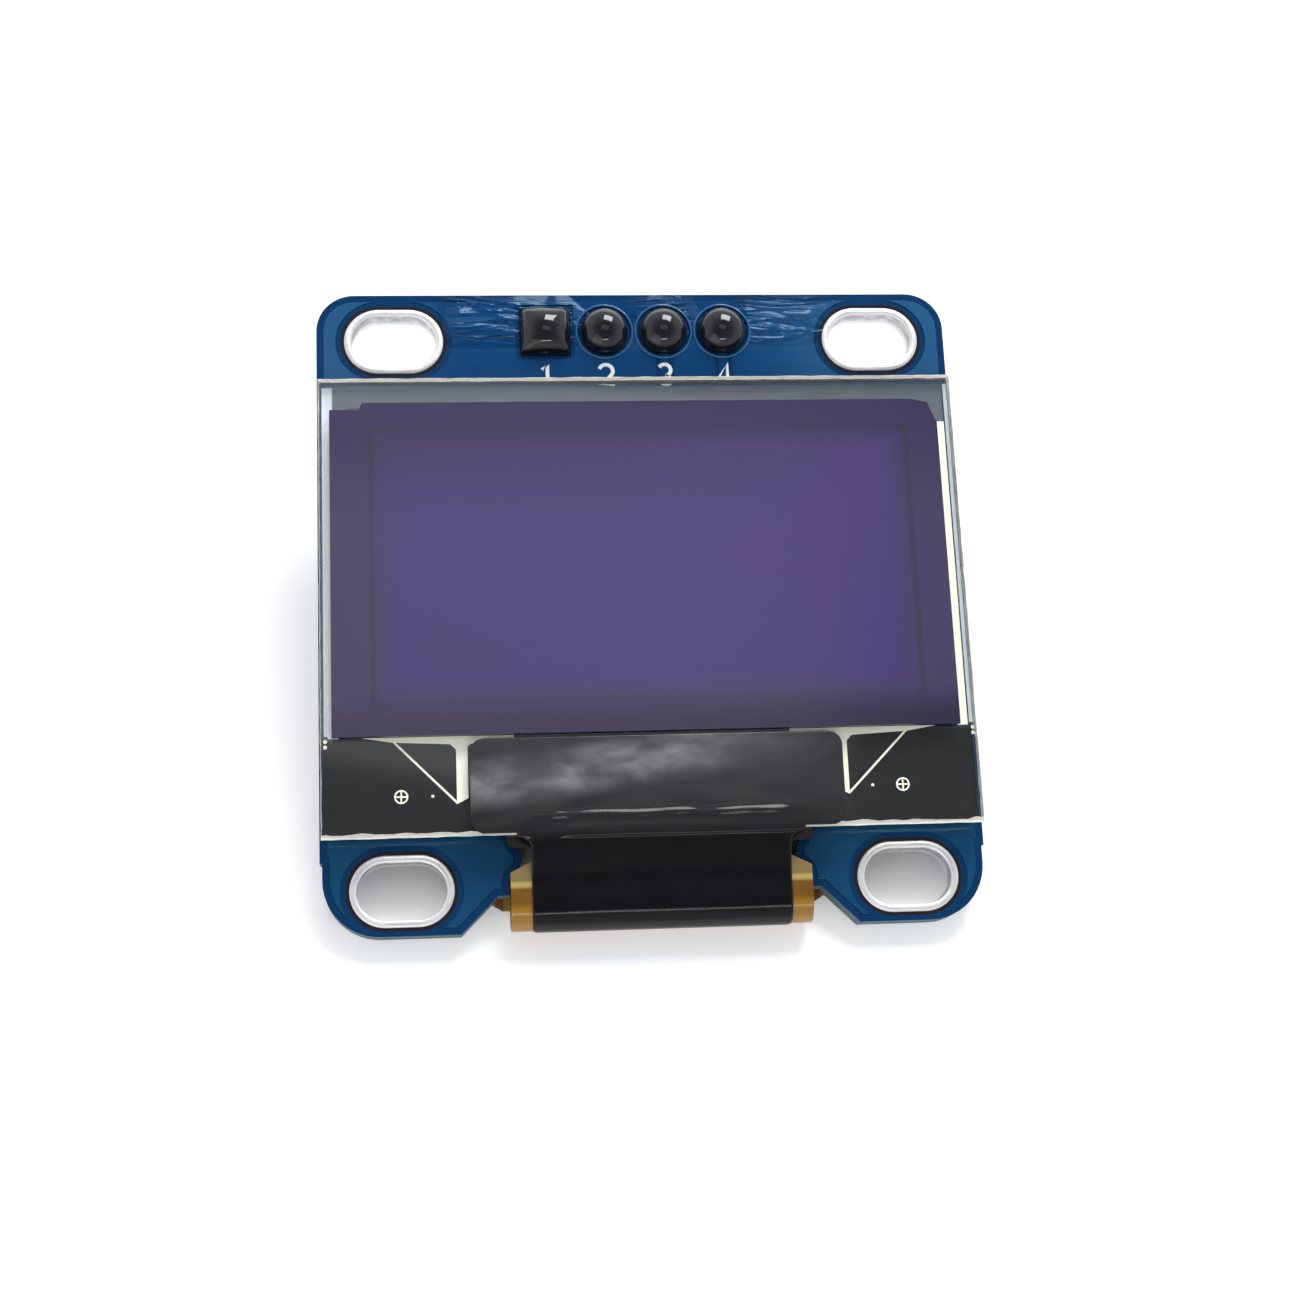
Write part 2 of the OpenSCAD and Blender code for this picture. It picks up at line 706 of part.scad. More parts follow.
module tail_solder() {
    color("#b9bdc2")
    for (i = [0:contact_count - 1])
        translate([contact_x(i), tail_end_y, rear_pad_z])
            along_x(contact_w)
                polygon([[0, 0], [contact_ahead * 0.75, 0], [contact_ahead / 3, -flex_t * 0.6], [0, -flex_t]]);
}

// ---- Light shield tape ----

// Line along the tape's straight run, offset outwards by d: off the glass, down to the tail
function tape_line(d) =
    let (slope = atan2(front_z - flex_front_z, tape_slope_l), lift = d * tan(slope / 2))
    [[panel_bottom + tape_r + over, front_z + d], [panel_bottom - lift, front_z + d],
     [panel_bottom - tape_slope_l - lift, flex_front_z + d], [fold_y, flex_front_z + d]];

module tape_stem() {
    under = tape_line(0);
    outer = tape_line(tape_t);
    end_z = fold_z + (fold_r + tape_t) * cos(tape_wrap);
    intersection() {
        union() {
            along_x(tape_stem_w)
                polygon(concat(under, [for (i = [len(outer) - 1:-1:0]) outer[i]]));
            folded_strip(tape_stem_w, fold_r + tape_t, tape_t, tape_wrap);
        }
        translate([0, board_bottom - over, 0]) rotate([90, 0, 180])
            linear_extrude(board_h) {
                translate([0, end_z + tape_end_r]) stadium(tape_stem_w, 2 * tape_end_r);
                translate([-tape_stem_w / 2, end_z + tape_end_r]) square([tape_stem_w, board_h]);
            }
    }
}

module shield_tape() {
    color("#141417")
    union() {
        translate([bar_x, panel_bottom + bar_h / 2, 0])
            plate(front_z, tape_t) rounded_bar(bar_w, bar_h, tape_r);
        translate([tail_x, 0, 0]) tape_stem();
    }
}

// ---- Small parts on the rear ----

// Puts a part, drawn with its feet on z = 0 and its body above, on the rear pads
module on_rear(at, turn = 0) {
    translate([at[0], at[1], rear_pad_z]) rotate([0, 0, turn]) mirror([0, 0, 1]) children();
}

module chip_body(height) {
    translate([0, 0, height / 2]) cube([part_l - 2 * terminal_l, part_w, height], center = true);
}

module chip_ends(height) {
    for (side = [-1, 1])
        translate([side * (part_l - terminal_l) / 2, 0, height / 2])
            cube([terminal_l, part_w, height], center = true);
}

module capacitor(i) {
    color("#b98f5f") on_rear(capacitor_at(i), 90) chip_body(capacitor_h);
}

module resistor(i) {
    color("#1e1f22") on_rear(resistor_at(i), 90) chip_body(resistor_h);
}

module chip_terminals() {
    color("#c4c7cb") {
        for (i = [0:capacitor_count - 1]) on_rear(capacitor_at(i), 90) chip_ends(capacitor_h);
        for (i = [0:resistor_count - 1]) on_rear(resistor_at(i), 90) chip_ends(resistor_h);
    }
}

// Two pads a chip part stands on, reaching past its ends
module chip_pads() {
    for (side = [-1, 1])
        translate([side * (part_l - terminal_l + pad_reach) / 2, 0, -plating_t / 2])
            cube([terminal_l + pad_reach, part_w + 2 * pad_side, plating_t], center = true);
}

// Solder wedges from the pads up the ends of a chip part
module chip_fillets(height) {
    rise = height * 0.6;
    for (side = [0, 1])
        mirror([side, 0, 0]) translate([part_l / 2, 0, 0])
            rotate([90, 0, 0]) linear_extrude(part_w, center = true)
                polygon([[0, 0], [pad_reach * 0.85, 0], [pad_reach * 0.3, rise * 0.4], [0, rise]]);
}

// A gull-wing lead: its foot lies on the pad, its shoulder meets the body
module gull_lead(width, body_side, shoulder_h) {
    out = body_side + lead_run;
    rotate([90, 0, 0]) linear_extrude(width, center = true)
        polygon([[body_side, shoulder_h], [body_side, shoulder_h + lead_t],
                 [out + lead_t / 2, shoulder_h + lead_t], [out + lead_t * 1.5, lead_t],
                 [out + foot_l + lead_t, lead_t], [out + foot_l + lead_t, 0],
                 [out + lead_t / 2, 0], [out - lead_t / 4, shoulder_h]]);
}

regulator_spots = [[-regulator_pitch, 180], [regulator_pitch, 180], [0, 0]];

// A moulded body with bevelled sides, standing on its leads
module moulded_body(length, width, height) {
    waist = height / 2;
    inset = body_bevel;
    intersection() {
        rotate([90, 0, 0]) linear_extrude(width, center = true)
            polygon([[-length / 2 + inset, body_lift], [length / 2 - inset, body_lift],
                     [length / 2, waist], [length / 2 - inset, height],
                     [-length / 2 + inset, height], [-length / 2, waist]]);
        rotate([90, 0, 90]) linear_extrude(length, center = true)
            polygon([[-width / 2 + inset, body_lift], [width / 2 - inset, body_lift],
                     [width / 2, waist], [width / 2, waist + lead_t],
                     [width / 2 - inset, height], [-width / 2 + inset, height],
                     [-width / 2, waist + lead_t], [-width / 2, waist]]);
    }
}

module regulator_body() {
    color("#17181a") on_rear([regulator_x, moulded_y]) moulded_body(regulator_l, regulator_w, regulator_h);
}

module regulator_leads() {
    color("#c4c7cb")
    on_rear([regulator_x, moulded_y])
        for (spot = regulator_spots)
            translate([spot[0], 0, 0]) rotate([0, 0, spot[1] + 90])
                gull_lead(regulator_lead_w, regulator_w / 2, regulator_h / 2);
}

module diode_body() {
    color("#1d1d20") on_rear([-diode_x, moulded_y], 90) moulded_body(diode_w, diode_l, diode_h);
}

module diode_leads() {
    color("#c4c7cb")
    on_rear([-diode_x, moulded_y])
        for (turn = [0, 180]) rotate([0, 0, turn]) gull_lead(diode_lead_w, diode_l / 2, diode_h / 2);
}

// The pad under a lead's foot
module lead_pad(width, body_side) {
    translate([body_side + lead_run / 2, -width / 2 - 2 * pad_side, -plating_t])
        cube([foot_l + 2 * lead_t + lead_run, width + 4 * pad_side, plating_t]);
}

module rear_pads() {
    color("#c9ccd0") {
        for (i = [0:capacitor_count - 1]) on_rear(capacitor_at(i), 90) chip_pads();
        for (i = [0:resistor_count - 1]) on_rear(resistor_at(i), 90) chip_pads();
        on_rear([regulator_x, moulded_y])
            for (spot = regulator_spots)
                translate([spot[0], 0, 0]) rotate([0, 0, spot[1] + 90])
                    lead_pad(regulator_lead_w, regulator_w / 2);
        on_rear([-diode_x, moulded_y])
            for (turn = [0, 180]) rotate([0, 0, turn]) lead_pad(diode_lead_w, diode_l / 2);
    }
}

module rear_solder() {
    color("#b9bdc2") {
        for (i = [0:capacitor_count - 1]) on_rear(capacitor_at(i), 90) chip_fillets(capacitor_h);
        for (i = [0:resistor_count - 1]) on_rear(resistor_at(i), 90) chip_fillets(resistor_h);
    }
}

circuit_board();
panel_adhesive();
cover_glass();
desiccant();
edge_seal();
organic_layer();
electrode_traces();
substrate_glass();
polarizer();
driver_chip();
flex_tail();
tail_pads();
tail_solder();
shield_tape();
header_strip();
rear_pads();
rear_solder();
chip_terminals();
regulator_body();
regulator_leads();
diode_body();
diode_leads();
for (i = [0:3])
    slot_lining(i);
for (i = [0:pin_count - 1])
    header_pad(i);
for (i = [0:pin_count - 1])
    solder_joint(i);
for (i = [0:pin_count - 1])
    header_pin(i);
for (i = [0:capacitor_count - 1])
    capacitor(i);
for (i = [0:resistor_count - 1])
    resistor(i);
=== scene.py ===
# %% [markdown]
# # A small OLED display module, dressed and lit
# The module is a blue circuit board that carries a thin glass display. A flex tail
# leaves the glass, folds round the board's lower edge and is soldered behind it,
# and a pin header stands out of the back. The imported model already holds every
# solid at its real size. This lesson gives each of them its finish and models what
# is too fine or too soft for a solid: the wrinkled tape, the solder, the printed
# ink and the copper that shows through the paint.

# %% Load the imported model
import math
import bpy
import bmesh
from mathutils import Euler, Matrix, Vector, noise


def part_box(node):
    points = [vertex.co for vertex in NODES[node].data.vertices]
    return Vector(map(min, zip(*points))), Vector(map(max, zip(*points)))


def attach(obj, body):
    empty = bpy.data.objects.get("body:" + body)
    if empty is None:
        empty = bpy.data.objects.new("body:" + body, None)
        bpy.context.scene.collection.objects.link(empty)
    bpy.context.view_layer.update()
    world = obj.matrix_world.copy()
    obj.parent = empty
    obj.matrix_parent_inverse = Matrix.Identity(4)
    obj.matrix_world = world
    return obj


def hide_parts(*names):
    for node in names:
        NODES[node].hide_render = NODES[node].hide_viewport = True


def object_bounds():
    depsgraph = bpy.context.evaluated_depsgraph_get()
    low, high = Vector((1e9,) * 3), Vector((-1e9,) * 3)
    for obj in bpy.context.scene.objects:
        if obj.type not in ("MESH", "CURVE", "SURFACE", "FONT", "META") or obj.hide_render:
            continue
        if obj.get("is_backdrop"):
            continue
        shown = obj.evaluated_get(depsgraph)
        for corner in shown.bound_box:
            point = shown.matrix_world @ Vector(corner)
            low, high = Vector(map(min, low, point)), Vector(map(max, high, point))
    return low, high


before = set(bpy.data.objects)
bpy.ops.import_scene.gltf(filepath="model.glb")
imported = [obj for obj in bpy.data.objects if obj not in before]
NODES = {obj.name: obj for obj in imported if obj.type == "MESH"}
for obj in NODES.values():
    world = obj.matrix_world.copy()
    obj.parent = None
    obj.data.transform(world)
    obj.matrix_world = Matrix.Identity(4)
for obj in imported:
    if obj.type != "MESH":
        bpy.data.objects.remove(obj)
cad_low, cad_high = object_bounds()
MM = 0.001
size = (cad_high - cad_low) / MM
print(f"{len(NODES)} solids, {size.x:.1f} x {size.y:.1f} x {size.z:.1f} mm")

# %% [markdown]
# ## Measuring the model
# Every place in this script comes from the solids' own boxes. That keeps the added
# pieces on the model if its sizes change. The boxes below are the ones that most
# pieces are placed from.

# %% Read the main boxes
board_low, board_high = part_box("circuit_board")
glass_low, glass_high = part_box("substrate_glass")
cover_low, cover_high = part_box("cover_glass")
tail_low, tail_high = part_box("flex_tail")
tape_low, tape_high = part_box("shield_tape")
pin_boxes = [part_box(f"header_pin_{i}") for i in (1, 2, 3, 4)]
pins = [(low + high) / 2 for low, high in pin_boxes]
pin_row_y = pins[0].y
pin_tip_z = pin_boxes[0][0].z
print(f"pins {(pins[1].x - pins[0].x) / MM:.2f} mm apart, tips at z {pin_tip_z / MM:.2f} mm")

# %% [markdown]
# ## The camera
# The module is looked at from above and a little from its tail edge, with a lens
# that is long enough to keep the board's sides nearly parallel. The camera is made
# first, so that each step can be rendered as soon as it works.

# %% Place the camera
camera_data = bpy.data.cameras.new("camera")
camera_data.sensor_width = 36
camera_data.lens = 59.7
camera_data.clip_start = 0.005
camera_data.clip_end = 5
camera = bpy.data.objects.new("camera", camera_data)
camera.location = Vector((-8.81, -23.44, 86.16)) * MM
camera.rotation_euler = Euler([math.radians(a) for a in (14.147, -5.286, -2.472)])
bpy.context.scene.collection.objects.link(camera)
bpy.context.scene.camera = camera
bpy.context.scene.view_settings.view_transform = "Standard"
print(f"camera {camera.location.length / MM:.0f} mm from the board")

# %% [markdown]
# ## Starting a finish
# A finish is a material made of nodes. It could be built by hand in the node editor,
# but most finishes of this module need the same few steps, so each step gets a short
# function and a finish below reads like a recipe. These two start a material and set
# a socket, whether it takes a number, a colour or the output of another node.

# %% Start a material and feed a socket
def new_finish(name, colour, roughness, **sockets):
    """A material with a Principled shader whose uniform values are set directly."""
    material = bpy.data.materials.new(name)
    material.use_nodes = True
    shader = material.node_tree.nodes["Principled BSDF"]
    shader.inputs["Base Color"].default_value = (*colour, 1)
    shader.inputs["Roughness"].default_value = roughness
    for socket, value in sockets.items():
        shader.inputs[socket.replace("_", " ")].default_value = value
    return material, material.node_tree, shader


def feed(tree, target, value):
    """Sets a socket to a number or a colour, or wires another socket into it."""
    if isinstance(value, bpy.types.NodeSocket):
        tree.links.new(value, target)
    elif isinstance(value, (tuple, list)) and len(value) == 3 and len(target.default_value) == 4:
        target.default_value = (*value, 1)
    else:
        target.default_value = value

# %% [markdown]
# ## Points, noise and arithmetic
# Nothing on a real board has one even colour. A finish reads the point on the object
# in millimetres, and a noise or a slope decides what happens there. Object
# coordinates are used, since they stay with the module when it is turned.

# %% Points, noise and arithmetic
def point_mm(tree, stretch=(1, 1, 1)):
    """The point on the object, in millimetres, stretched along the axes."""
    where = tree.nodes.new("ShaderNodeTexCoord")
    scale = tree.nodes.new("ShaderNodeVectorMath")
    scale.operation = "MULTIPLY"
    tree.links.new(where.outputs["Object"], scale.inputs[0])
    scale.inputs[1].default_value = [s / MM for s in stretch]
    return scale.outputs[0]


def axes_mm(tree):
    """X, Y and Z of the point on the object, in millimetres."""
    split = tree.nodes.new("ShaderNodeSeparateXYZ")
    tree.links.new(point_mm(tree), split.inputs[0])
    return split.outputs[0], split.outputs[1], split.outputs[2]


def clouds(tree, per_mm, detail=3, stretch=(1, 1, 1), warp=0):
    """Noise with so many swells per millimetre, from 0 to 1."""
    field = tree.nodes.new("ShaderNodeTexNoise")
    field.inputs["Scale"].default_value = per_mm
    field.inputs["Detail"].default_value = detail
    field.inputs["Distortion"].default_value = warp
    tree.links.new(point_mm(tree, stretch), field.inputs["Vector"])
    return field.outputs["Fac"]


def sums(tree, operation, a, b=0.0, c=0.0):
    """One step of arithmetic on numbers or sockets."""
    step = tree.nodes.new("ShaderNodeMath")
    step.operation = operation
    for target, value in zip(step.inputs, (a, b, c)):
        feed(tree, target, value)
    return step.outputs[0]


def ramp(tree, value, low, high, smooth=True):
    """0 where value is below low, 1 above high, and a smooth slope between."""
    step = tree.nodes.new("ShaderNodeMapRange")
    step.interpolation_type = "SMOOTHSTEP" if smooth else "LINEAR"
    feed(tree, step.inputs["Value"], value)
    feed(tree, step.inputs["From Min"], low)
    feed(tree, step.inputs["From Max"], high)
    return step.outputs["Result"]

# %% [markdown]
# ## Colours and relief
# Colours are blended by a share from 0 to 1. Fine relief, such as the orange peel of
# paint, is a bump: real geometry at that scale would cost far more points than it
# shows. Each new bump is chained to the one before it.

# %% Colours and relief
def mix(tree, share, a, b):
    """Colour a where share is 0 and colour b where it is 1."""
    step = tree.nodes.new("ShaderNodeMix")
    step.data_type = "RGBA"
    feed(tree, step.inputs[0], share)
    feed(tree, step.inputs[6], a)
    feed(tree, step.inputs[7], b)
    return step.outputs[2]


def bump(tree, shader, height, depth_mm, strength=1.0):
    """Raises the surface by height times depth, on top of any bump it has."""
    relief = tree.nodes.new("ShaderNodeBump")
    relief.inputs["Strength"].default_value = strength
    relief.inputs["Distance"].default_value = depth_mm * MM
    feed(tree, relief.inputs["Height"], height)
    normal = shader.inputs["Normal"]
    if normal.is_linked:
        tree.links.new(normal.links[0].from_socket, relief.inputs["Normal"])
    tree.links.new(relief.outputs[0], normal)


def normal_z(tree):
    """Which way the face looks along Z: 1 is up, 0 is a wall and -1 is down."""
    geometry = tree.nodes.new("ShaderNodeNewGeometry")
    split = tree.nodes.new("ShaderNodeSeparateXYZ")
    tree.links.new(geometry.outputs["True Normal"], split.inputs[0])
    return split.outputs[2]

# %% [markdown]
# ## Handing out finishes
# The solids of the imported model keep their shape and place, and only their material
# slots are filled. Many plain parts need no more than two shades of one colour and a
# fine grain, so one function makes all of those finishes.

# %% Dress the solids
def dress(material, *names):
    """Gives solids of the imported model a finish."""
    for name in names:
        slots = NODES[name].material_slots
        for slot in slots:
            slot.material = material
        if not slots:
            NODES[name].data.materials.append(material)
    print(material.name, "on", ", ".join(names[:4]), "..." if len(names) > 4 else "")


def numbered(stem, count):
    return [f"{stem}_{i + 1}" for i in range(count)]


def plain_finish(name, dark, light, roughness, per_mm=1.5, depth=0.01, **sockets):
    """Two shades in soft clouds, under a fine grain."""
    material, tree, shader = new_finish(name, light, roughness, **sockets)
    cloudy = clouds(tree, per_mm, 3)
    tree.links.new(mix(tree, cloudy, dark, light), shader.inputs["Base Color"])
    bump(tree, shader, clouds(tree, per_mm * 3, 3), depth, 0.5)
    return material

# %% [markdown]
# ## Adding a piece
# Some parts are too fine or too soft for the imported solids, and are modelled here. An added piece is a mesh
# in metres, in the same frame as the solids. It rides with the module.

# %% Add a piece
def add_piece(name, points, faces, material, slot, smooth=True):
    """A mesh object that rides with the module. Its argument slot is not used."""
    mesh = bpy.data.meshes.new(name)
    mesh.from_pydata([tuple(p) for p in points], [], faces)
    mesh.validate()
    mesh.update()
    return finish_piece(mesh, material, smooth)


def finish_piece(mesh, material, smooth=True):
    """Links a mesh into the scene with its finish and makes it ride."""
    shape = bmesh.new()
    shape.from_mesh(mesh)
    bmesh.ops.recalc_face_normals(shape, faces=shape.faces)
    shape.to_mesh(mesh)
    shape.free()
    for face in mesh.polygons:
        face.use_smooth = smooth
    mesh.materials.append(material)
    piece = bpy.data.objects.new(mesh.name, mesh)
    bpy.context.scene.collection.objects.link(piece)
    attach(piece, "root")
    return piece

# %% [markdown]
# ## Paths on the board
# The fine pieces follow simple paths: arcs, slots with round ends and rectangles.
# They are worked out by formula, which keeps a round stretch truly round.

# %% Paths on the board
def arc(centre, radius, start, end, steps):
    """Points on an arc, with the angles in degrees."""
    turns = [math.radians(start + (end - start) * i / steps) for i in range(steps + 1)]
    return [(centre[0] + radius * math.cos(t), centre[1] + radius * math.sin(t)) for t in turns]


def stadium(centre, length, width, steps=24):
    """A closed path with two straight sides and two round ends."""
    half = (length - width) / 2
    x, y = centre
    right = arc((x + half, y), width / 2, -90, 90, steps)
    left = arc((x - half, y), width / 2, 90, 270, steps)
    return right + left


def box_path(low_x, low_y, high_x, high_y):
    return [(low_x, low_y), (high_x, low_y), (high_x, high_y), (low_x, high_y)]

# %% [markdown]
# ## Sweeping a profile
# A plated rim, a track and a stroke of ink have one thing in common: each is a small
# profile swept along a path. A curve object with a bevel could make them too, but it
# turns its profile as it likes. Here the profile always keeps its upward side up.

# %% Sweep a profile along a path
def sweep(path, profile, closed=True):
    """Points and faces of a profile of (outward, up) swept along a path on the board."""
    count = len(path)
    points = []
    for i, (x, y) in enumerate(path):
        before = path[i - 1] if closed or i else path[0]
        after = path[(i + 1) % count] if closed or i < count - 1 else path[-1]
        along = Vector((after[0] - before[0], after[1] - before[1])).normalized()
        for out, up in profile:
            points.append((x + along.y * out, y - along.x * out, up))
    ring = len(profile)
    faces = []
    for i in range(count if closed else count - 1):
        j = (i + 1) % count
        for k in range(ring):
            m = (k + 1) % ring
            faces.append((i * ring + k, i * ring + m, j * ring + m, j * ring + k))
    if not closed:
        faces.append(tuple(range(ring)))
        faces.append(tuple(range((count - 1) * ring, count * ring)))
    return points, faces


def join(parts):
    """Several lots of points and faces as one."""
    points, faces = [], []
    for some_points, some_faces in parts:
        start = len(points)
        points += some_points
        faces += [tuple(start + k for k in face) for face in some_faces]
    return points, faces


def ridge(half_width, low, high, edge):
    """Profile of a low ridge with bevelled shoulders."""
    return [(-half_width, low), (-half_width + edge, high), (half_width - edge, high), (half_width, low)]

# %% [markdown]
# ## Flat sheets with holes
# Copper foil and coats are thin sheets with many holes. Blender fills a flat curve
# between its outlines by itself and bevels the edges, so each sheet starts as such a
# curve and is turned into a mesh.

# %% Make a flat sheet
def flat_sheet(name, outlines, low, high, edge, material):
    """A sheet filled from its outline and holes, with bevelled edges."""
    curve = bpy.data.curves.new(name, "CURVE")
    curve.dimensions = "2D"
    curve.fill_mode = "BOTH"
    curve.extrude = (high - low) / 2 - edge
    curve.bevel_depth = edge
    curve.bevel_resolution = 1
    curve.offset = -edge
    for outline in outlines:
        spline = curve.splines.new("POLY")
        spline.points.add(len(outline) - 1)
        spline.use_cyclic_u = True
        for point, (x, y) in zip(spline.points, outline):
            point.co = (x, y, 0, 1)
    holder = bpy.data.objects.new(name, curve)
    bpy.context.scene.collection.objects.link(holder)
    bpy.context.view_layer.update()
    mesh = bpy.data.meshes.new_from_object(holder.evaluated_get(bpy.context.evaluated_depsgraph_get()))
    bpy.data.objects.remove(holder)
    mesh.name = name
    shape = bmesh.new()
    shape.from_mesh(mesh)
    bmesh.ops.remove_doubles(shape, verts=shape.verts, dist=1e-7)
    bmesh.ops.translate(shape, verts=shape.verts, vec=(0, 0, (low + high) / 2))
    shape.to_mesh(mesh)
    shape.free()
    mesh.materials.clear()
    return finish_piece(mesh, material, smooth=False)

# %% [markdown]
# ## Floor and background
# The module doesn't lie flat: its pins hold the header edge up, and it leans on its tail edge. The pale sheet
# under it follows that lean, so that the tail edge meets its own shadow. Past the tail edge the sheet runs on
# level and then drops out of the way. It looks white because its colour is nearly white, and seen directly it
# also glows a little, which keeps the object's shadow as a soft grey. Under the lower half of the board the
# glow is turned down, which paints a darker shadow there. The sky is bright near the horizon and dim
# overhead, where it would veil the glass.

# %% Lay the sheet and set the background
LEVEL_RUN = 34 * MM
DROP_RUN = 40 * MM
STEP_UP = 1.4 * MM


def background_rays(tree):
    """1 for a ray from the camera, a reflection or a view through glass, else 0."""
    rays = tree.nodes.new("ShaderNodeLightPath")
    seen = sums(tree, "MAXIMUM", rays.outputs["Is Camera Ray"], rays.outputs["Is Transmission Ray"])
    return sums(tree, "MAXIMUM", seen, rays.outputs["Is Glossy Ray"])


def floor_height(y, lean_start, lean_end, level_low, level_high):
    """Height of the sheet: low at the pins, rising past the tail edge, level, then falling."""
    share = (y - lean_start) / (lean_end - lean_start)
    leaning = level_low + (level_high - level_low) * share
    level = level_high + STEP_UP
    far = min(1, max(0, (lean_end - LEVEL_RUN - y) / DROP_RUN))
    drop = far * far * (3 - 2 * far) * (level - level_low)
    return max(level_low, min(leaning, level)) - drop


def make_floor():
    """A wide sheet, finer near the module, where it bends."""
    edge = 0.6
    rows = [-edge, -0.3, -0.15] + [y * MM for y in range(-100, 41, 2)] + [0.08, 0.15, 0.3, edge]
    columns = [-edge, -0.2, -0.05, 0, 0.05, 0.2, edge]
    low, high = pin_tip_z - 0.12 * MM, min(board_low.z, tail_low.z) - 0.03 * MM
    points = [(x, y, floor_height(y, pin_row_y, board_low.y, low, high)) for y in rows for x in columns]
    wide = len(columns)
    faces = [(r * wide + c, r * wide + c + 1, (r + 1) * wide + c + 1, (r + 1) * wide + c)
             for r in range(len(rows) - 1) for c in range(wide - 1)]
    mesh = bpy.data.meshes.new("floor")
    mesh.from_pydata(points, [], faces)
    for face in mesh.polygons:
        face.use_smooth = True
    floor = bpy.data.objects.new("floor", mesh)
    bpy.context.scene.collection.objects.link(floor)
    material, tree, shader = new_finish("pale_sheet", (0.84, 0.84, 0.84), 0.9, Specular_IOR_Level=0.1)
    x, y, _ = axes_mm(tree)
    # Painted shadow: the glow is weak under the lower half of the board, so the sheet seen through the lower
    # slots looks shaded.
    beyond = ramp(tree, y, board_low.y / MM + 2.9, board_low.y / MM + 0.2)
    far_up = ramp(tree, y, 0, 4)
    aside = ramp(tree, sums(tree, "ABSOLUTE", x), board_high.x / MM - 1, board_high.x / MM)
    unshaded_share = sums(tree, "MAXIMUM", sums(tree, "MAXIMUM", beyond, far_up), aside)
    strength = sums(tree, "MULTIPLY_ADD", unshaded_share, 0.34, 0.05)
    glow = sums(tree, "MULTIPLY", background_rays(tree), strength)
    shader.inputs["Emission Color"].default_value = (1, 1, 1, 1)
    tree.links.new(glow, shader.inputs["Emission Strength"])
    mesh.materials.append(material)
    floor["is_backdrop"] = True
    print(f"sheet from z {low / MM:.2f} to {high / MM:.2f} mm")


def make_background():
    """White where it is seen directly, and a sky that dims overhead for the light."""
    world = bpy.data.worlds.new("studio")
    bpy.context.scene.world = world
    world.use_nodes = True
    tree = world.node_tree
    back = tree.nodes["Background"]
    where = tree.nodes.new("ShaderNodeTexCoord")
    split = tree.nodes.new("ShaderNodeSeparateXYZ")
    tree.links.new(where.outputs["Generated"], split.inputs[0])
    sky = mix(tree, ramp(tree, split.outputs[2], 0.45, 0.97), (0.84, 0.86, 0.9), (0.22, 0.23, 0.25))
    rays = tree.nodes.new("ShaderNodeLightPath")
    tree.links.new(mix(tree, rays.outputs["Is Camera Ray"], sky, (1, 1, 1)), back.inputs["Color"])
    back.inputs["Strength"].default_value = 1


make_floor()
make_background()

# %% [markdown]
# ## Lamps
# A broad window stands beyond the header edge. It draws the small bright square on
# each solder joint and throws the shadow towards the tail edge. A weak panel
# overhead gives the glass and the tape their soft grey sheen, a wide fill softens
# the near side, and a narrow strip draws the bright crease along the tape. All four
# are area lamps, because small real lamps would make hard, black shadows.

# %% Set the lamps
def area_lamp(name, direction, distance, width, height, watts):
    """A rectangular soft lamp that looks at the module."""
    data = bpy.data.lights.new(name, "AREA")
    data.shape = "RECTANGLE"
    data.size = width
    data.size_y = height
    data.energy = watts
    lamp = bpy.data.objects.new(name, data)
    lamp.location = Vector(direction).normalized() * distance
    lamp.rotation_euler = Vector(direction).to_track_quat("Z", "Y").to_euler()
    bpy.context.scene.collection.objects.link(lamp)
    print(f"{name}: {watts} W, {width * 1000:.0f} x {height * 1000:.0f} mm")


area_lamp("window", (0.24, 0.83, 0.62), 0.25, 0.11, 0.11, 0.42)
area_lamp("panel", (0.045, 0.27, 0.96), 0.2, 0.08, 0.054, 0.0085)
area_lamp("fill", (-0.5, -0.6, 0.6), 0.4, 0.3, 0.3, 0.2)
area_lamp("strip", (0.05, -0.62, 0.78), 0.3, 0.12, 0.02, 0.06)

# %% [markdown]
# ## The circuit board
# The board is glass cloth in resin with copper on both faces, under blue paint that
# is called solder mask. Where copper lies under the mask it looks lighter, and bare
# laminate looks dark. The board itself gets the dark version, with bare laminate
# round the plated slots and the cut cloth on its walls. The copper comes later as
# a raised sheet, so that its edges catch the light. The bare band is found from the
# distance to the nearest slot, which needs no painted picture.

# %% Where the slots are
slot_boxes = [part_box(f"slot_lining_{i}") for i in (1, 2, 3, 4)]
slots = [(low + high) / 2 for low, high in slot_boxes]
ring_length = slot_boxes[0][1].x - slot_boxes[0][0].x
ring_width = slot_boxes[0][1].y - slot_boxes[0][0].y
BARE_BAND_MM = 0.13
print(f"slots {(slots[0] - slots[1]).length / MM:.2f} mm apart, rims {ring_length / MM:.2f} mm long")


def slot_distance(tree):
    """Distance in mm from the rim of the nearest slot's plating, measured outwards."""
    x, y, _ = axes_mm(tree)
    straight = (ring_length - ring_width) / 2 / MM
    along = sums(tree, "SUBTRACT", sums(tree, "ABSOLUTE", x), abs(slots[0].x) / MM)
    along = sums(tree, "MAXIMUM", sums(tree, "SUBTRACT", sums(tree, "ABSOLUTE", along), straight), 0)
    across = sums(tree, "SUBTRACT", sums(tree, "ABSOLUTE", y), abs(slots[0].y) / MM)
    square = sums(tree, "ADD", sums(tree, "POWER", along, 2), sums(tree, "MULTIPLY", across, across))
    return sums(tree, "SUBTRACT", sums(tree, "SQRT", square), ring_width / 2 / MM)

# %% [markdown]
# ## The skin of the solder mask
# Mask is a glossy paint, so most of what is seen of it is reflection. The skin has a
# faint orange peel, and beside the soldered pins it is streaked with flux. Both
# are bumps that the mask over laminate and the mask over copper share.

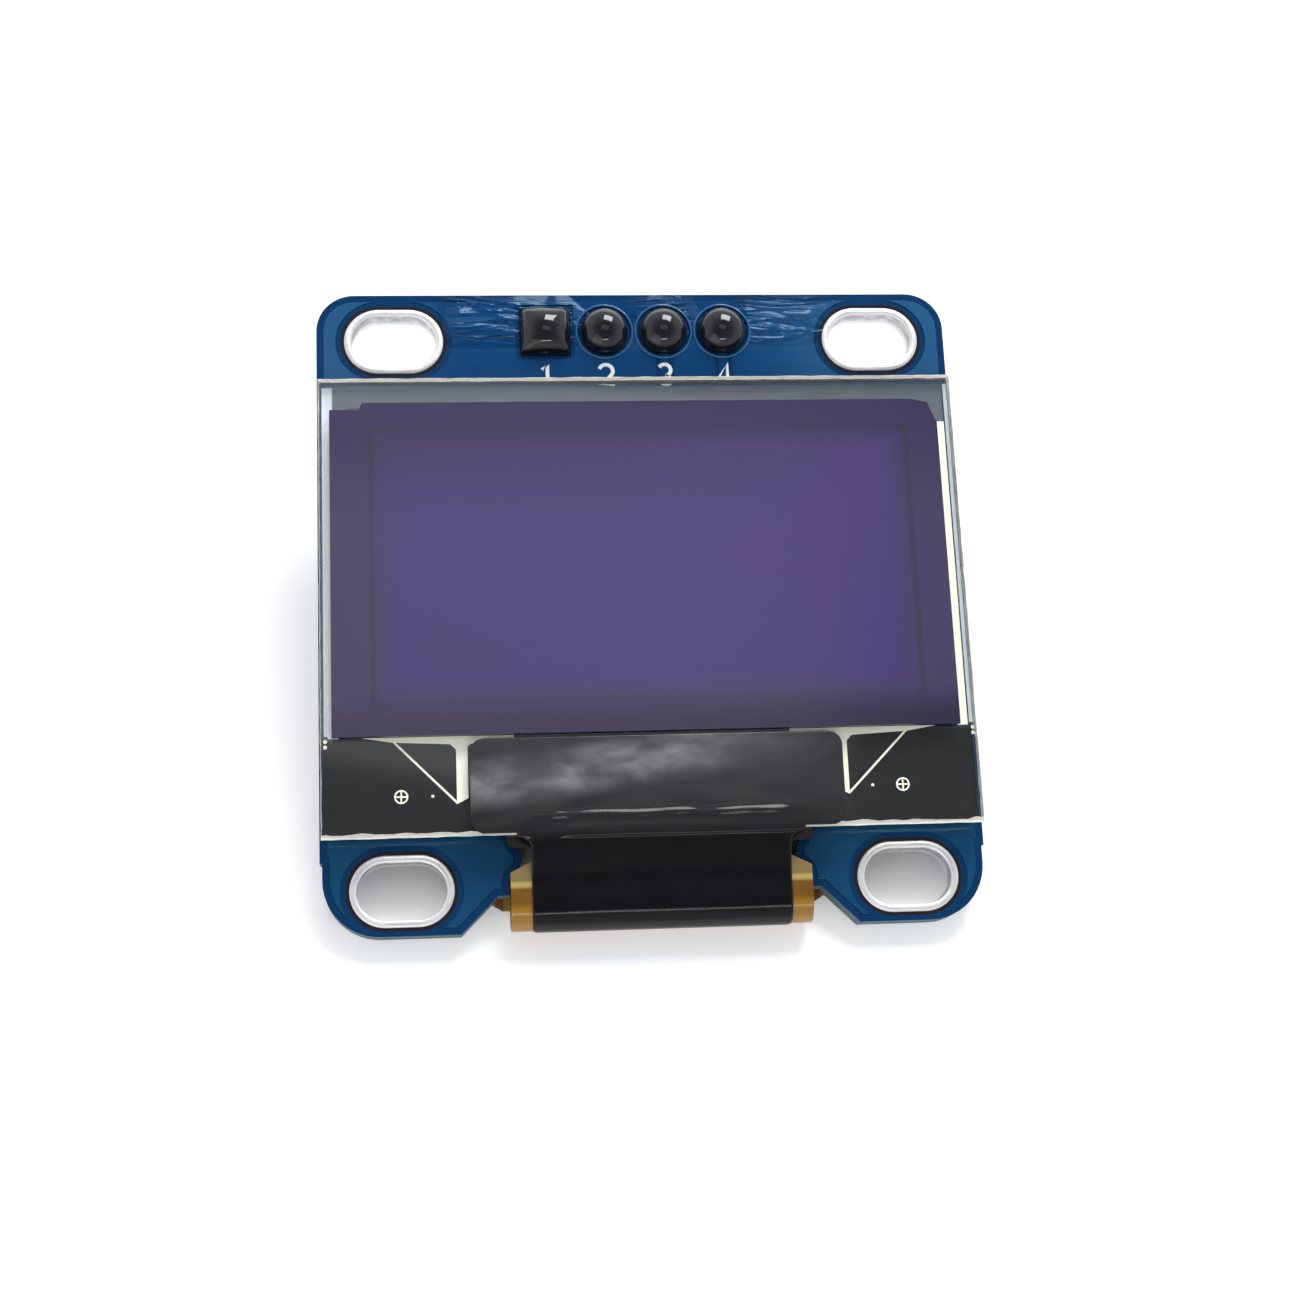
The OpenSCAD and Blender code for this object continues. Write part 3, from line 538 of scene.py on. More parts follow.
# %% Finish of the board
def flux_share(tree):
    """How much wavy flux lies on the mask: most beside the header pins."""
    x, y, _ = axes_mm(tree)
    near_row = ramp(tree, y, pin_row_y / MM - 0.9, pin_row_y / MM + 0.3)
    reach = ramp(tree, sums(tree, "ABSOLUTE", x), 9.0, 7.6)
    return sums(tree, "MULTIPLY", near_row, reach)


def mask_surface(tree, shader):
    """The mask's own skin: a faint orange peel, and flux beside the pins."""
    shader.inputs["Specular Tint"].default_value = (0.55, 0.82, 1.0, 1)
    bump(tree, shader, clouds(tree, 1.4, 2), 0.01, 0.4)
    waves = clouds(tree, 0.42, 1.5, stretch=(0.6, 2.4, 1), warp=2.0)
    patches = ramp(tree, clouds(tree, 0.22, 1), 0.44, 0.56)
    share = sums(tree, "MULTIPLY", patches, flux_share(tree))
    bump(tree, shader, sums(tree, "MULTIPLY", waves, share), 0.55, 1.0)


def board_finish():
    """Blue mask on the faces, a bare band round the slots, and cut cloth on the walls."""
    material, tree, shader = new_finish("blue_mask_on_laminate", (0.003, 0.038, 0.12), 0.12,
                                        Specular_IOR_Level=0.2)
    cloudy = clouds(tree, 0.35, 3)
    mask = mix(tree, cloudy, (0.003, 0.036, 0.11), (0.005, 0.046, 0.14))
    bare = mix(tree, clouds(tree, 3, 2), (0.014, 0.012, 0.016), (0.032, 0.024, 0.024))
    face = mix(tree, ramp(tree, slot_distance(tree), BARE_BAND_MM + 0.03, BARE_BAND_MM), mask, bare)
    cloth = clouds(tree, 2.2, 2, stretch=(0.3, 0.3, 5))
    wall = mix(tree, cloth, (0.08, 0.13, 0.16), (0.24, 0.3, 0.28))
    flat = ramp(tree, sums(tree, "ABSOLUTE", normal_z(tree)), 0.3, 0.6)
    tree.links.new(mix(tree, flat, wall, face), shader.inputs["Base Color"])
    wall_rough, face_rough = 0.9, 0.12
    rough = sums(tree, "MULTIPLY_ADD", flat, face_rough - wall_rough, wall_rough)
    tree.links.new(rough, shader.inputs["Roughness"])
    mask_surface(tree, shader)
    return material


dress(board_finish(), "circuit_board")

# %% [markdown]
# ## Copper under the mask
# A sheet of copper fills the board's front face. It keeps clear of the board's edge,
# the slots and the pads. It could be drawn by the finish alone, but it is modelled as
# a thin raised sheet with bevelled edges, because under glossy mask the step at its
# edge is what shows.

# %% Finish of the mask over copper
def mask_over_copper():
    """Lighter blue than over laminate, palest towards the ends of the header band."""
    material, tree, shader = new_finish("blue_mask_on_copper", (0.003, 0.05, 0.165), 0.1,
                                        Specular_IOR_Level=0.27)
    x, y, _ = axes_mm(tree)
    cloudy = clouds(tree, 0.25, 3)
    middle = mix(tree, cloudy, (0.002, 0.048, 0.155), (0.004, 0.06, 0.19))
    ends = mix(tree, cloudy, (0.014, 0.085, 0.2), (0.03, 0.115, 0.26))
    corners = mix(tree, cloudy, (0.006, 0.056, 0.13), (0.01, 0.075, 0.175))
    from_middle = sums(tree, "ABSOLUTE", sums(tree, "ADD", x, 1.5))
    band = mix(tree, ramp(tree, from_middle, 5.5, 11), middle, ends)
    low = ramp(tree, y, glass_low.y / MM + 3, glass_low.y / MM)
    tree.links.new(mix(tree, low, band, corners), shader.inputs["Base Color"])
    mask_surface(tree, shader)
    return material


mask_copper = mask_over_copper()
print("finish", mask_copper.name)

# %% [markdown]
# ## Outline of the copper
# The copper follows the board's edge at a fixed distance. The edge is read from the
# board's own front face, so rounded corners and the notch come out right by
# themselves. Moving an outline inwards can make it cross itself at inner corners, so
# points that come too near the edge again are left out.

# %% Outline of the copper
COPPER_RISE = 0.04 * MM
COPPER_BEVEL = 0.015 * MM
EDGE_CLEAR = 0.3 * MM


def board_outline():
    """The board's own edge, walked round its front face as a list of (x, y)."""
    mesh = NODES["circuit_board"].data
    spots = {v.index: (round(v.co.x, 7), round(v.co.y, 7)) for v in mesh.vertices}
    uses = {}
    for face in mesh.polygons:
        if face.normal.z < 0.9 or abs(face.center.z - board_high.z) > 0.01 * MM:
            continue
        for a, b in face.edge_keys:
            key = tuple(sorted((spots[a], spots[b])))
            uses[key] = uses.get(key, 0) + 1
    links = {}
    for (a, b), count in uses.items():
        if count == 1:
            links.setdefault(a, []).append(b)
            links.setdefault(b, []).append(a)
    start = min(links)
    loop, last = [start], None
    while True:
        here = loop[-1]
        step = [p for p in links[here] if p != last][0]
        if step == start:
            return loop
        last = here
        loop.append(step)


def inset(loop, distance):
    """The loop moved inwards, with the points left out that would cross over."""
    area = sum(a[0] * b[1] - b[0] * a[1] for a, b in zip(loop, loop[1:] + loop[:1]))
    turn = 1 if area > 0 else -1
    moved = []
    for i, (x, y) in enumerate(loop):
        before, after = Vector(loop[i - 1]), Vector(loop[(i + 1) % len(loop)])
        one = (Vector((x, y)) - before).normalized()
        two = (after - Vector((x, y))).normalized()
        normal = Vector((-(one.y + two.y), one.x + two.x)).normalized() * turn
        reach = distance / max(0.5, abs(normal.dot(Vector((-one.y, one.x)))))
        moved.append((x + normal.x * reach, y + normal.y * reach))
    return [p for p in moved if all(math.dist(p, q) > distance * 0.93 for q in loop)]


edge_loop = board_outline()
copper_edge = inset(edge_loop, EDGE_CLEAR)
print(len(edge_loop), "points round the board,", len(copper_edge), "round the copper")

# %% [markdown]
# ## Clearings in the copper
# Copper keeps clear of every pad that it isn't joined to. Round a pad with a track
# the clearing has the shape of a keyhole, since the track leaves through it. The
# clearings round the slots reach over the sheet's edge, which an outline with holes
# can't show, so they are cut out of the finished sheet.

# %% Clearings round pads and slots
PAD_CLEAR = 0.17 * MM
SLOT_CLEAR = 0.36 * MM
TRACK = 0.42 * MM
pad_radius = (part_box("header_pad_2")[1].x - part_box("header_pad_2")[0].x) / 2
band_low = glass_high.y - 1.6 * MM


def keyhole(pin, half, has_track):
    """A clearing round a pad, open downwards where a track leaves it."""
    if not has_track:
        return arc((pin.x, pin.y), half, 0, 345, 24)
    side = TRACK / 2 + PAD_CLEAR
    swing = math.degrees(math.asin(side / half))
    low = band_low + 0.3 * MM
    round_part = arc((pin.x, pin.y), half, -90 + swing, 270 - swing, 24)
    return [(pin.x - side, low), (pin.x + side, low)] + round_part


def front_holes():
    """Clearings round the pads."""
    half = pad_radius + PAD_CLEAR
    x, y = pins[0].x, pins[0].y
    holes = [box_path(x - half, y - half, x + half, y + half)]
    holes += [keyhole(pin, half, i > 0) for i, pin in enumerate(pins[1:])]
    return holes


def clear_slots(sheet):
    """Cuts a clearing round each slot, which may open to the sheet's edge."""
    cutters = []
    for slot in slots:
        path = stadium((slot.x, slot.y), ring_length + 2 * SLOT_CLEAR, ring_width + 2 * SLOT_CLEAR)
        low, high = slot.z - 3 * MM, slot.z + 3 * MM
        points = [(x, y, z) for z in (low, high) for x, y in path]
        n = len(path)
        faces = [(i, (i + 1) % n, n + (i + 1) % n, n + i) for i in range(n)]
        faces += [tuple(reversed(range(n))), tuple(range(n, 2 * n))]
        mesh = bpy.data.meshes.new("cutter")
        mesh.from_pydata(points, [], faces)
        cutter = bpy.data.objects.new("cutter", mesh)
        bpy.context.scene.collection.objects.link(cutter)
        step = sheet.modifiers.new("clearing", "BOOLEAN")
        step.object = cutter
        step.solver = "EXACT"
        cutters.append(cutter)
    bpy.context.view_layer.update()
    done = bpy.data.meshes.new_from_object(sheet.evaluated_get(bpy.context.evaluated_depsgraph_get()))
    sheet.modifiers.clear()
    done.name = sheet.name
    sheet.data = done
    for cutter in cutters:
        bpy.data.objects.remove(cutter)


# %% [markdown]
# ## Copper, tracks and rings of flux
# The sheet, two tracks that leave their pins, and a low ring of set flux round each
# round pad. The ring is lighter than the mask, because light gets into it.

# %% Copper, tracks and rings of flux
front_sheet = flat_sheet("copper_front", [copper_edge] + front_holes(), 0, COPPER_RISE, COPPER_BEVEL,
                         mask_copper)
clear_slots(front_sheet)
track_ridge = ridge(TRACK / 2, 0, COPPER_RISE, COPPER_BEVEL)
track_foot = band_low + 0.5 * MM
tracks = [sweep([(pin.x, pin.y - pad_radius * 0.9), (pin.x, track_foot)], track_ridge, closed=False)
          for pin in pins[2:]]
add_piece("copper_tracks", *join(tracks), mask_copper, "solder_mask", smooth=False)
flux_ridge = ridge(0.09 * MM, 0, 0.1 * MM, 0.07 * MM)
rings = [sweep(arc((pin.x, pin.y), pad_radius + 0.15 * MM, 0, 352, 44), flux_ridge) for pin in pins[1:]]
wet_mask = plain_finish("wet_mask", (0.01, 0.09, 0.24), (0.02, 0.13, 0.32), 0.08, 0.8, 0.02, Coat_Weight=0.6)
add_piece("flux_rings", *join(rings), wet_mask, "solder_mask")
print("1 sheet of copper,", len(tracks), "tracks and", len(rings), "rings of flux")

# %% [markdown]
# ## Printed numbers
# White ink marks the four pins with plain numbers. Type from a font would come as
# thin flat letters, while printed ink has a rounded, raised edge. So each number is
# a few strokes, and a stroke is a low ridge swept along a short path. The glass hides
# the foot of each number.

# %% Numbers beside the pins
def digit_strokes(digit):
    """Paths of one digit in a box 0.6 wide and 1 high."""
    if digit == 1:
        return [[(0.12, 0.8), (0.34, 1.0), (0.34, 0.0)]]
    if digit == 2:
        return [arc((0.3, 0.72), 0.28, 160, -30, 10) + [(0.02, 0.0), (0.6, 0.0)]]
    if digit == 3:
        return [arc((0.28, 0.75), 0.25, 150, -80, 10) + arc((0.28, 0.25), 0.27, 80, -150, 10)]
    return [[(0.62, 0.3), (0.0, 0.3), (0.44, 1.0), (0.44, 0.0)]]


def ink_finish():
    """Chalky white that is thinner in places."""
    material, tree, shader = new_finish("white_ink", (0.85, 0.87, 0.86), 0.5)
    patchy = mix(tree, clouds(tree, 5, 4), (0.72, 0.76, 0.78), (0.93, 0.94, 0.93))
    tree.links.new(patchy, shader.inputs["Base Color"])
    bump(tree, shader, clouds(tree, 9, 3), 0.01, 0.6)
    return material


INK_HEIGHT = 1.05 * MM
ink_foot = pin_row_y - pad_radius - 0.46 * MM - INK_HEIGHT
ink_ridge = ridge(0.085 * MM, COPPER_RISE, COPPER_RISE + 0.02 * MM, 0.02 * MM)
strokes = []
for i, pin in enumerate(pins):
    for path in digit_strokes(i + 1):
        placed = [(pin.x + (x - 0.3) * INK_HEIGHT, ink_foot + y * INK_HEIGHT) for x, y in path]
        strokes.append(sweep(placed, ink_ridge, closed=False))
white_ink = ink_finish()
add_piece("pin_numbers", *join(strokes), white_ink, None, smooth=False)
print(len(strokes), "strokes of ink")

# %% [markdown]
# ## Tinned slots
# Each mounting slot is plated through and tinned with hot air, which leaves a crowned, slightly lumpy rim.
# The rim is a profile swept round the slot, from the rear face up the wall and over the front face. It
# replaces the square-edged solid, whose flat rim would reflect as one even patch. Down in the slot, shade is
# painted into the tin's colour, darker from the rim down.

# %% Finish of the tin
LAND = 0.3 * MM


def tin_finish(name, colour, roughness, per_mm=1.6, wall=0):
    """Lumpy tin. Inside a slot, shade is painted into its colour from the rim down, by the share wall."""
    material, tree, shader = new_finish(name, colour, roughness, Metallic=0.65 if wall else 1.0)
    light = tuple(min(1, c * 1.04) for c in colour)
    dark = tuple(c * 0.86 for c in colour)
    tinned = mix(tree, clouds(tree, per_mm, 4), dark, light)
    z = axes_mm(tree)[2]
    # Painted shade down the slot wall, from the rim down.
    painted_slot_shade = sums(tree, "MULTIPLY", ramp(tree, z, 0.0, -0.1), ramp(tree, z, -0.95, -0.35))
    painted_slot_shade = sums(tree, "MULTIPLY", painted_slot_shade, ramp(tree, clouds(tree, 2.2, 3), 0.1, 0.6))
    painted_dark_colour = mix(tree, sums(tree, "MULTIPLY", painted_slot_shade, wall), tinned, (0.2, 0.2, 0.21))
    tree.links.new(painted_dark_colour, shader.inputs["Base Color"])
    blotch = ramp(tree, clouds(tree, per_mm * 0.6, 2), 0.2, 0.9)
    spread = tree.nodes.new("ShaderNodeMapRange")
    feed(tree, spread.inputs["Value"], blotch)
    spread.inputs["To Min"].default_value = roughness * 0.7
    spread.inputs["To Max"].default_value = roughness * 1.4
    tree.links.new(spread.outputs["Result"], shader.inputs["Roughness"])
    bump(tree, shader, clouds(tree, per_mm * 1.5, 3), 0.03, 0.6)
    return material


tin = tin_finish("bright_tin", (0.97, 0.97, 0.96), 0.4)
slot_tin = tin_finish("slot_tin", (0.99, 0.99, 0.98), 0.4, wall=0.75)
print("finishes", tin.name, "and", slot_tin.name)

# %% Tinned slots
def tinned_slot(centre, seed):
    """A lumpy crown of tin on both faces and down the wall of one slot."""
    wall = stadium((centre.x, centre.y), ring_length - 2 * LAND, ring_width - 2 * LAND, 40)
    top, bottom = 0, board_low.z
    crown = [(0, -0.1), (0.004, 0.015), (0.03, 0.05), (0.09, 0.068), (0.17, 0.07),
             (0.24, 0.058), (0.285, 0.035), (0.3, 0.0)]
    profile = [(out * MM, top + up * MM) for out, up in crown]
    profile += [(out * MM, bottom - up * MM) for out, up in reversed(crown)]
    points, faces = sweep(wall, profile)
    lumpy = []
    for x, y, z in points:
        swell = noise.noise(Vector((x / MM * 1.1, y / MM * 1.1, seed)))
        if z > top + 0.02 * MM:
            z += swell * 0.022 * MM
        elif z < bottom - 0.02 * MM:
            z -= swell * 0.022 * MM
        lumpy.append((x, y, z))
    return lumpy, faces


for i, centre in enumerate(slots):
    ring = add_piece(f"tinned_slot_{i + 1}", *tinned_slot(centre, i * 7.3), slot_tin, "tin")
    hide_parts(f"slot_lining_{i + 1}")
print("4 tinned slots")

# %% [markdown]
# ## Solder joints
# The header stands behind the board, and the solder has wetted right over the pin ends in front, so each
# joint is a dome like a mirror. Its near-black colour is a painted reflection of a dark room, since real
# solder is bright metal. The first pad is square, and its dome has four soft ridges. Each dome is a grid of
# rings, pulled to a circle or a rounded square. A squashed sphere would meet the pad too steeply.

# %% Finish of the solder
def joint_finish():
    """Metal painted near-black as a reflection of a dark room, under a clear, very smooth skin of flux."""
    material, tree, shader = new_finish("painted_dark_solder", (0.006, 0.007, 0.01), 0.09, Coat_Weight=0.9,
                                        Coat_Roughness=0.03, Specular_IOR_Level=0.12)
    # The near-black base colour is a painted reflection of a dark room.
    painted_dark_colour = mix(tree, clouds(tree, 2.4, 3), (0.002, 0.003, 0.006), (0.009, 0.01, 0.013))
    tree.links.new(painted_dark_colour, shader.inputs["Base Color"])
    bump(tree, shader, clouds(tree, 1.6, 2), 0.02, 0.5)
    return material


solder_painted_dark = joint_finish()
print("finish", solder_painted_dark.name)

# %% Domes of solder
def dome(centre, half, top, squareness, seed):
    """Rings from the pad's edge up to the tip, square or round in plan."""
    rings, spokes = 22, 64
    base = 0.045 * MM
    points = []
    for r in range(rings + 1):
        share = 1 - r / rings
        rise = math.cos(share * math.pi / 2) ** 1.15
        for s in range(spokes):
            turn = 2 * math.pi * s / spokes
            c, d = math.cos(turn), math.sin(turn)
            square = 1 / max(abs(c), abs(d))
            corner = 1 + (min(square, 1.33) - 1) * squareness * share
            reach = half * math.sin(share * math.pi / 2) ** 0.92 * corner
            x, y = centre.x + reach * c, centre.y + reach * d
            swell = noise.noise(Vector((x / MM * 1.3, y / MM * 1.3, seed))) * 0.03 * MM * share
            points.append((x, y, base + (top - base) * rise + swell))
    faces = []
    for r in range(rings):
        for s in range(spokes):
            t = (s + 1) % spokes
            faces.append((r * spokes + s, r * spokes + t, (r + 1) * spokes + t, (r + 1) * spokes + s))
    faces.append(tuple(range(rings * spokes, (rings + 1) * spokes)))
    faces.append(tuple(reversed(range(spokes))))
    return points, faces


for i, pin in enumerate(pins):
    low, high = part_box(f"solder_joint_{i + 1}")
    half = (high.x - low.x) / 2 + 0.02 * MM
    shape = dome(pin, half, high.z, 1.0 if i == 0 else 0.0, i * 3.1)
    joint = add_piece(f"solder_dome_{i + 1}", *shape, solder_painted_dark, "solder")
    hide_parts(f"solder_joint_{i + 1}")
print(f"4 solder joints, {high.z / MM:.2f} mm high")
dress(solder_painted_dark, *numbered("header_pad", 4))

# %% [markdown]
# ## Header strip and pins
# The strip is moulded in black nylon with a dull skin. The pins are square wire
# with a thin flash of gold over nickel, drawn along their length. Their solids are
# good as they are, so they only get finishes: a fine grain, and streaks that are
# stretched along the pins.

# %% Header strip and pins
def moulded_black(name, colour, roughness):
    """Black plastic with the fine grain of its mould."""
    material, tree, shader = new_finish(name, colour, roughness)
    tint = tuple(c * 1.5 for c in colour)
    tree.links.new(mix(tree, clouds(tree, 1.2, 4), colour, tint), shader.inputs["Base Color"])
    bump(tree, shader, clouds(tree, 12, 3), 0.01, 0.6)
    return material


def drawn_gold():
    """Pale gold with streaks along Z."""
    material, tree, shader = new_finish("gold_flash", (0.85, 0.62, 0.28), 0.25, Metallic=1.0)
    drawn = clouds(tree, 6, 3, stretch=(1, 1, 0.08))
    tree.links.new(mix(tree, drawn, (0.72, 0.5, 0.2), (0.92, 0.7, 0.36)), shader.inputs["Base Color"])
    bump(tree, shader, drawn, 0.01, 0.5)
    return material


dress(moulded_black("header_nylon", (0.012, 0.012, 0.013), 0.5), "header_strip")
dress(drawn_gold(), *numbered("header_pin", 4))

# %% [markdown]
# ## The glass
# The display is two sheets of glass, cut by scoring and snapping. The faces are clear. The snapped walls are
# frosty and slightly wavy, and they catch the light. The upper and lower walls of the front pane also carry a
# painted glow, and those of the rear pane are painted near-black as shade.
# Real glass throws no dark shadow, but a ray tracer needs very long to find the light
# through two panes. So the glass is nearly see-through to shadow rays alone.

# %% Finishes of the glass
def glass_finish(name, tint):
    """Clear glass that lets most of the light through to what lies under it."""
    material, tree, shader = new_finish(name, tint, 0.055, IOR=1.5, Transmission_Weight=1.0)
    rays = tree.nodes.new("ShaderNodeLightPath")
    solid = sums(tree, "SUBTRACT", 1, sums(tree, "MULTIPLY", rays.outputs["Is Shadow Ray"], 0.92))
    tree.links.new(solid, shader.inputs["Alpha"])
    bump(tree, shader, clouds(tree, 0.12, 1), 0.01, 0.3)
    return material


def snapped_finish(name, glow):
    """Frosted glass with a painted glow, standing in for light that is trapped in a pane and leaves it where
    the edge is rough.
    """
    material, tree, shader = new_finish(name, (1.0, 0.98, 0.9), 0.55, Transmission_Weight=0.7)
    shader.inputs["Emission Color"].default_value = (1.0, 0.95, 0.8, 1)
    shader.inputs["Emission Strength"].default_value = glow
    hackle = clouds(tree, 3, 4, stretch=(0.6, 0.6, 2))
    tree.links.new(mix(tree, ramp(tree, hackle, 0.35, 0.7), (0.72, 0.74, 0.68), (1.0, 0.98, 0.88)),
                   shader.inputs["Base Color"])
    bump(tree, shader, hackle, 0.03, 0.8)
    return material


# The front pane's upper and lower walls get a painted glow; the rear pane's are painted near-black as shade.
bright_wall = snapped_finish("snapped_glass_painted_glow", 0.3)
dull_wall = snapped_finish("snapped_side_glass", 0.0)
shaded_wall = plain_finish("shaded_edge", (0.006, 0.008, 0.01), (0.02, 0.024, 0.028), 0.4, 3, 0.02)
front_glass = glass_finish("front_glass", (0.985, 0.99, 0.985))
rear_glass = glass_finish("rear_glass", (0.88, 0.93, 0.95))
print("clear finishes", front_glass.name, "and", rear_glass.name)

# %% [markdown]
# ## The panes
# Each pane is a wavy wall swept round its outline and closed by two faces, with a
# worn lip along both rims. A plain block would have edges as sharp as a knife, and
# they would catch no light. A pane stops a hair short of the films that lie against
# it, so that two faces never coincide.

# %% Panes of glass
def glass_pane(name, low, high, materials, slot):
    """A pane with wavy snapped walls and a worn lip along both rims."""
    step = 0.12 * MM
    corners = [(high.x, low.y), (high.x, high.y), (low.x, high.y), (low.x, low.y)]
    path = []
    for i, (x, y) in enumerate(corners):
        nx, ny = corners[(i + 1) % 4]
        parts = round(max(abs(nx - x), abs(ny - y)) / step)
        path += [(x + (nx - x) * k / parts, y + (ny - y) * k / parts) for k in range(parts)]
    lip = 0.035 * MM
    chipped = 0.15 * MM
    heights = [low.z, low.z + lip, (low.z + high.z) / 2, high.z - lip, high.z]
    points = []
    for x, y in path:
        for k, z in enumerate(heights):
            wave = noise.noise(Vector((x / MM * 1.7, y / MM * 1.7, k * 0.7)))
            wave += 0.4 * noise.noise(Vector((x / MM * 5.3, y / MM * 5.3, k * 0.7 + 8)))
            step_in = (lip if k in (0, 4) else 0) + (0.5 + wave) * 0.02 * MM
            foot = (chipped * (0.8 + 0.5 * wave) if k == 4 else step_in)
            points.append((min(max(x, low.x + step_in), high.x - step_in),
                           min(max(y, low.y + foot), high.y - step_in), z))
    tall, count = len(heights), len(path)
    faces = [(i * tall + k, (i + 1) % count * tall + k, (i + 1) % count * tall + k + 1, i * tall + k + 1)
             for i in range(count) for k in range(tall - 1)]
    faces.append(tuple(i * tall for i in reversed(range(count))))
    faces.append(tuple(i * tall + tall - 1 for i in range(count)))
    pane = add_piece(name, points, faces, materials[0], slot, smooth=False)
    pane.data.materials.append(materials[1])
    pane.data.materials.append(materials[2])
    for face in pane.data.polygons:
        if len(face.vertices) == 4:
            face.material_index = 1 if abs(face.normal.y) > abs(face.normal.x) else 2
    return pane


hair = Vector((0, 0, 0.012 * MM))
front_pane = glass_pane("front_pane", glass_low + hair, glass_high,
                        (front_glass, bright_wall, dull_wall), "front_glass")
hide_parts("substrate_glass")
rear_pane = glass_pane("rear_pane", cover_low + hair, cover_high - hair,
                       (rear_glass, shaded_wall, dull_wall), "rear_glass")
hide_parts("cover_glass")
front_thick, rear_thick = glass_high.z - glass_low.z, cover_high.z - cover_low.z
print(f"2 panes, {front_thick / MM:.2f} and {rear_thick / MM:.2f} mm thick")

# %% [markdown]
# ## Metal film
# The electrodes are a thin metal film on the back of the front pane. Through the
# glass they look cream and very bright, since the film is a good mirror for the
# light that the pane traps. The finish is a matt cream with a faint glow for that.

# %% Finish of the metal film
def metal_film():
    """Bright cream metal, except that the left bundle is as pale as the seal."""
    material, tree, shader = new_finish("bright_metal_film", (0.97, 0.98, 0.82), 0.5)
    shader.inputs["Emission Color"].default_value = (0.96, 0.98, 0.78, 1)
    shader.inputs["Emission Strength"].default_value = 0.13
    x, _, _ = axes_mm(tree)
    cloudy = clouds(tree, 1.5, 3)
    cream = mix(tree, cloudy, (0.96, 0.96, 0.76), (1.0, 1.0, 0.85))
    pale = mix(tree, cloudy, (0.62, 0.7, 0.82), (0.8, 0.87, 0.97))
    left = ramp(tree, sums(tree, "ABSOLUTE", sums(tree, "SUBTRACT", x, glass_low.x / MM + 0.65)), 0.35, 0.3)
    tree.links.new(mix(tree, left, cream, pale), shader.inputs["Base Color"])
    bump(tree, shader, clouds(tree, 5, 3), 0.01, 0.5)
    return material

metal = metal_film()
dress(metal, "electrode_traces")

# %% [markdown]
# ## Seal
# A ring of cured glue seals the two panes, and a bead of it is squeezed out to their
# edges, where it looks pale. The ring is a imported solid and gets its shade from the
# distance to the edge. The beads are swept along both sides.

# %% Ring and beads of seal
def seal_finish():
    """Grey-blue glue that turns paler towards the left and right edges, with painted shade, near-black, along
    its lower stretch.
    """
    material, tree, shader = new_finish("cured_seal", (0.35, 0.42, 0.5), 0.4)
    x, y, _ = axes_mm(tree)
    middle = (glass_low.x + glass_high.x) / 2 / MM
    half = (glass_high.x - glass_low.x) / 2 / MM
    side = ramp(tree, sums(tree, "SUBTRACT", middle, x), half - 0.62, half - 0.52)
    cloudy = clouds(tree, 0.6, 3)
    grey = mix(tree, cloudy, (0.07, 0.095, 0.12), (0.12, 0.15, 0.19))
    pale = mix(tree, cloudy, (0.6, 0.68, 0.8), (0.78, 0.86, 0.97))
    colour = mix(tree, side, grey, pale)
    # Painted shade: the seal's lower stretch is near-black.
    foot = ramp(tree, y, seal_low.y / MM + 1.3, seal_low.y / MM + 1.1)
    tree.links.new(mix(tree, foot, colour, (0.02, 0.02, 0.024)), shader.inputs["Base Color"])
    bump(tree, shader, cloudy, 0.01, 0.5)
    return material


seal_low, seal_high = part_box("edge_seal")
dress(seal_finish(), "edge_seal")
bead_mid = (seal_low.z + seal_high.z) / 2
bead_half = (seal_high.z - seal_low.z) / 2 - 0.004 * MM
bead_out = 0.15 * MM
bead_profile = [(-0.005 * MM, bead_mid - bead_half), (bead_out, bead_mid - bead_half * 0.6),
                (bead_out, bead_mid + bead_half * 0.6), (-0.005 * MM, bead_mid + bead_half)]
left_path = [(seal_low.x, seal_high.y), (seal_low.x, seal_low.y)]
right_path = [(seal_high.x + 0.07 * MM, seal_low.y), (seal_high.x + 0.07 * MM, seal_high.y)]
beads = [sweep(path, bead_profile, closed=False) for path in (left_path, right_path)]
pale_seal = plain_finish("pale_seal", (0.68, 0.76, 0.88), (0.84, 0.9, 0.98), 0.45)
add_piece("seal_beads", *join(beads), pale_seal, "seal", smooth=False)
print(len(beads), "beads of seal")

# %% [markdown]
# ## Hidden layers
# Between the panes lie the layer that lights up and a drying sheet. A foam tape holds
# the display on the board, and the driver chip sits behind the ledge. Little of them
# shows, so a plain finish each is enough.

# %% Finishes of the hidden layers
dress(plain_finish("drying_sheet", (0.8, 0.8, 0.78), (0.9, 0.9, 0.9), 0.8), "desiccant")
dress(plain_finish("foam_tape", (0.75, 0.74, 0.68), (0.88, 0.87, 0.8), 0.9, 4, 0.03), "panel_adhesive")
dress(plain_finish("glowing_layer", (0.03, 0.02, 0.06), (0.06, 0.04, 0.1), 0.2), "organic_layer")
silicon = plain_finish("polished_silicon", (0.1, 0.11, 0.13), (0.2, 0.21, 0.24), 0.15, Metallic=0.7)
dress(silicon, "driver_chip")

# %% [markdown]
# ## Painted shade and marks on the ledge
# A near-black sheet behind the ledge is painted shade: it stands for the shade under the ledge and hides the
# board, and the metal film shines in front of it. At both ends of the cover's lower edge lie two small round
# marks of the same film. The painted shade and the marks are thin sheets filled from outlines.

# %% Painted shade and marks on the ledge
trace_low, trace_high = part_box("electrode_traces")
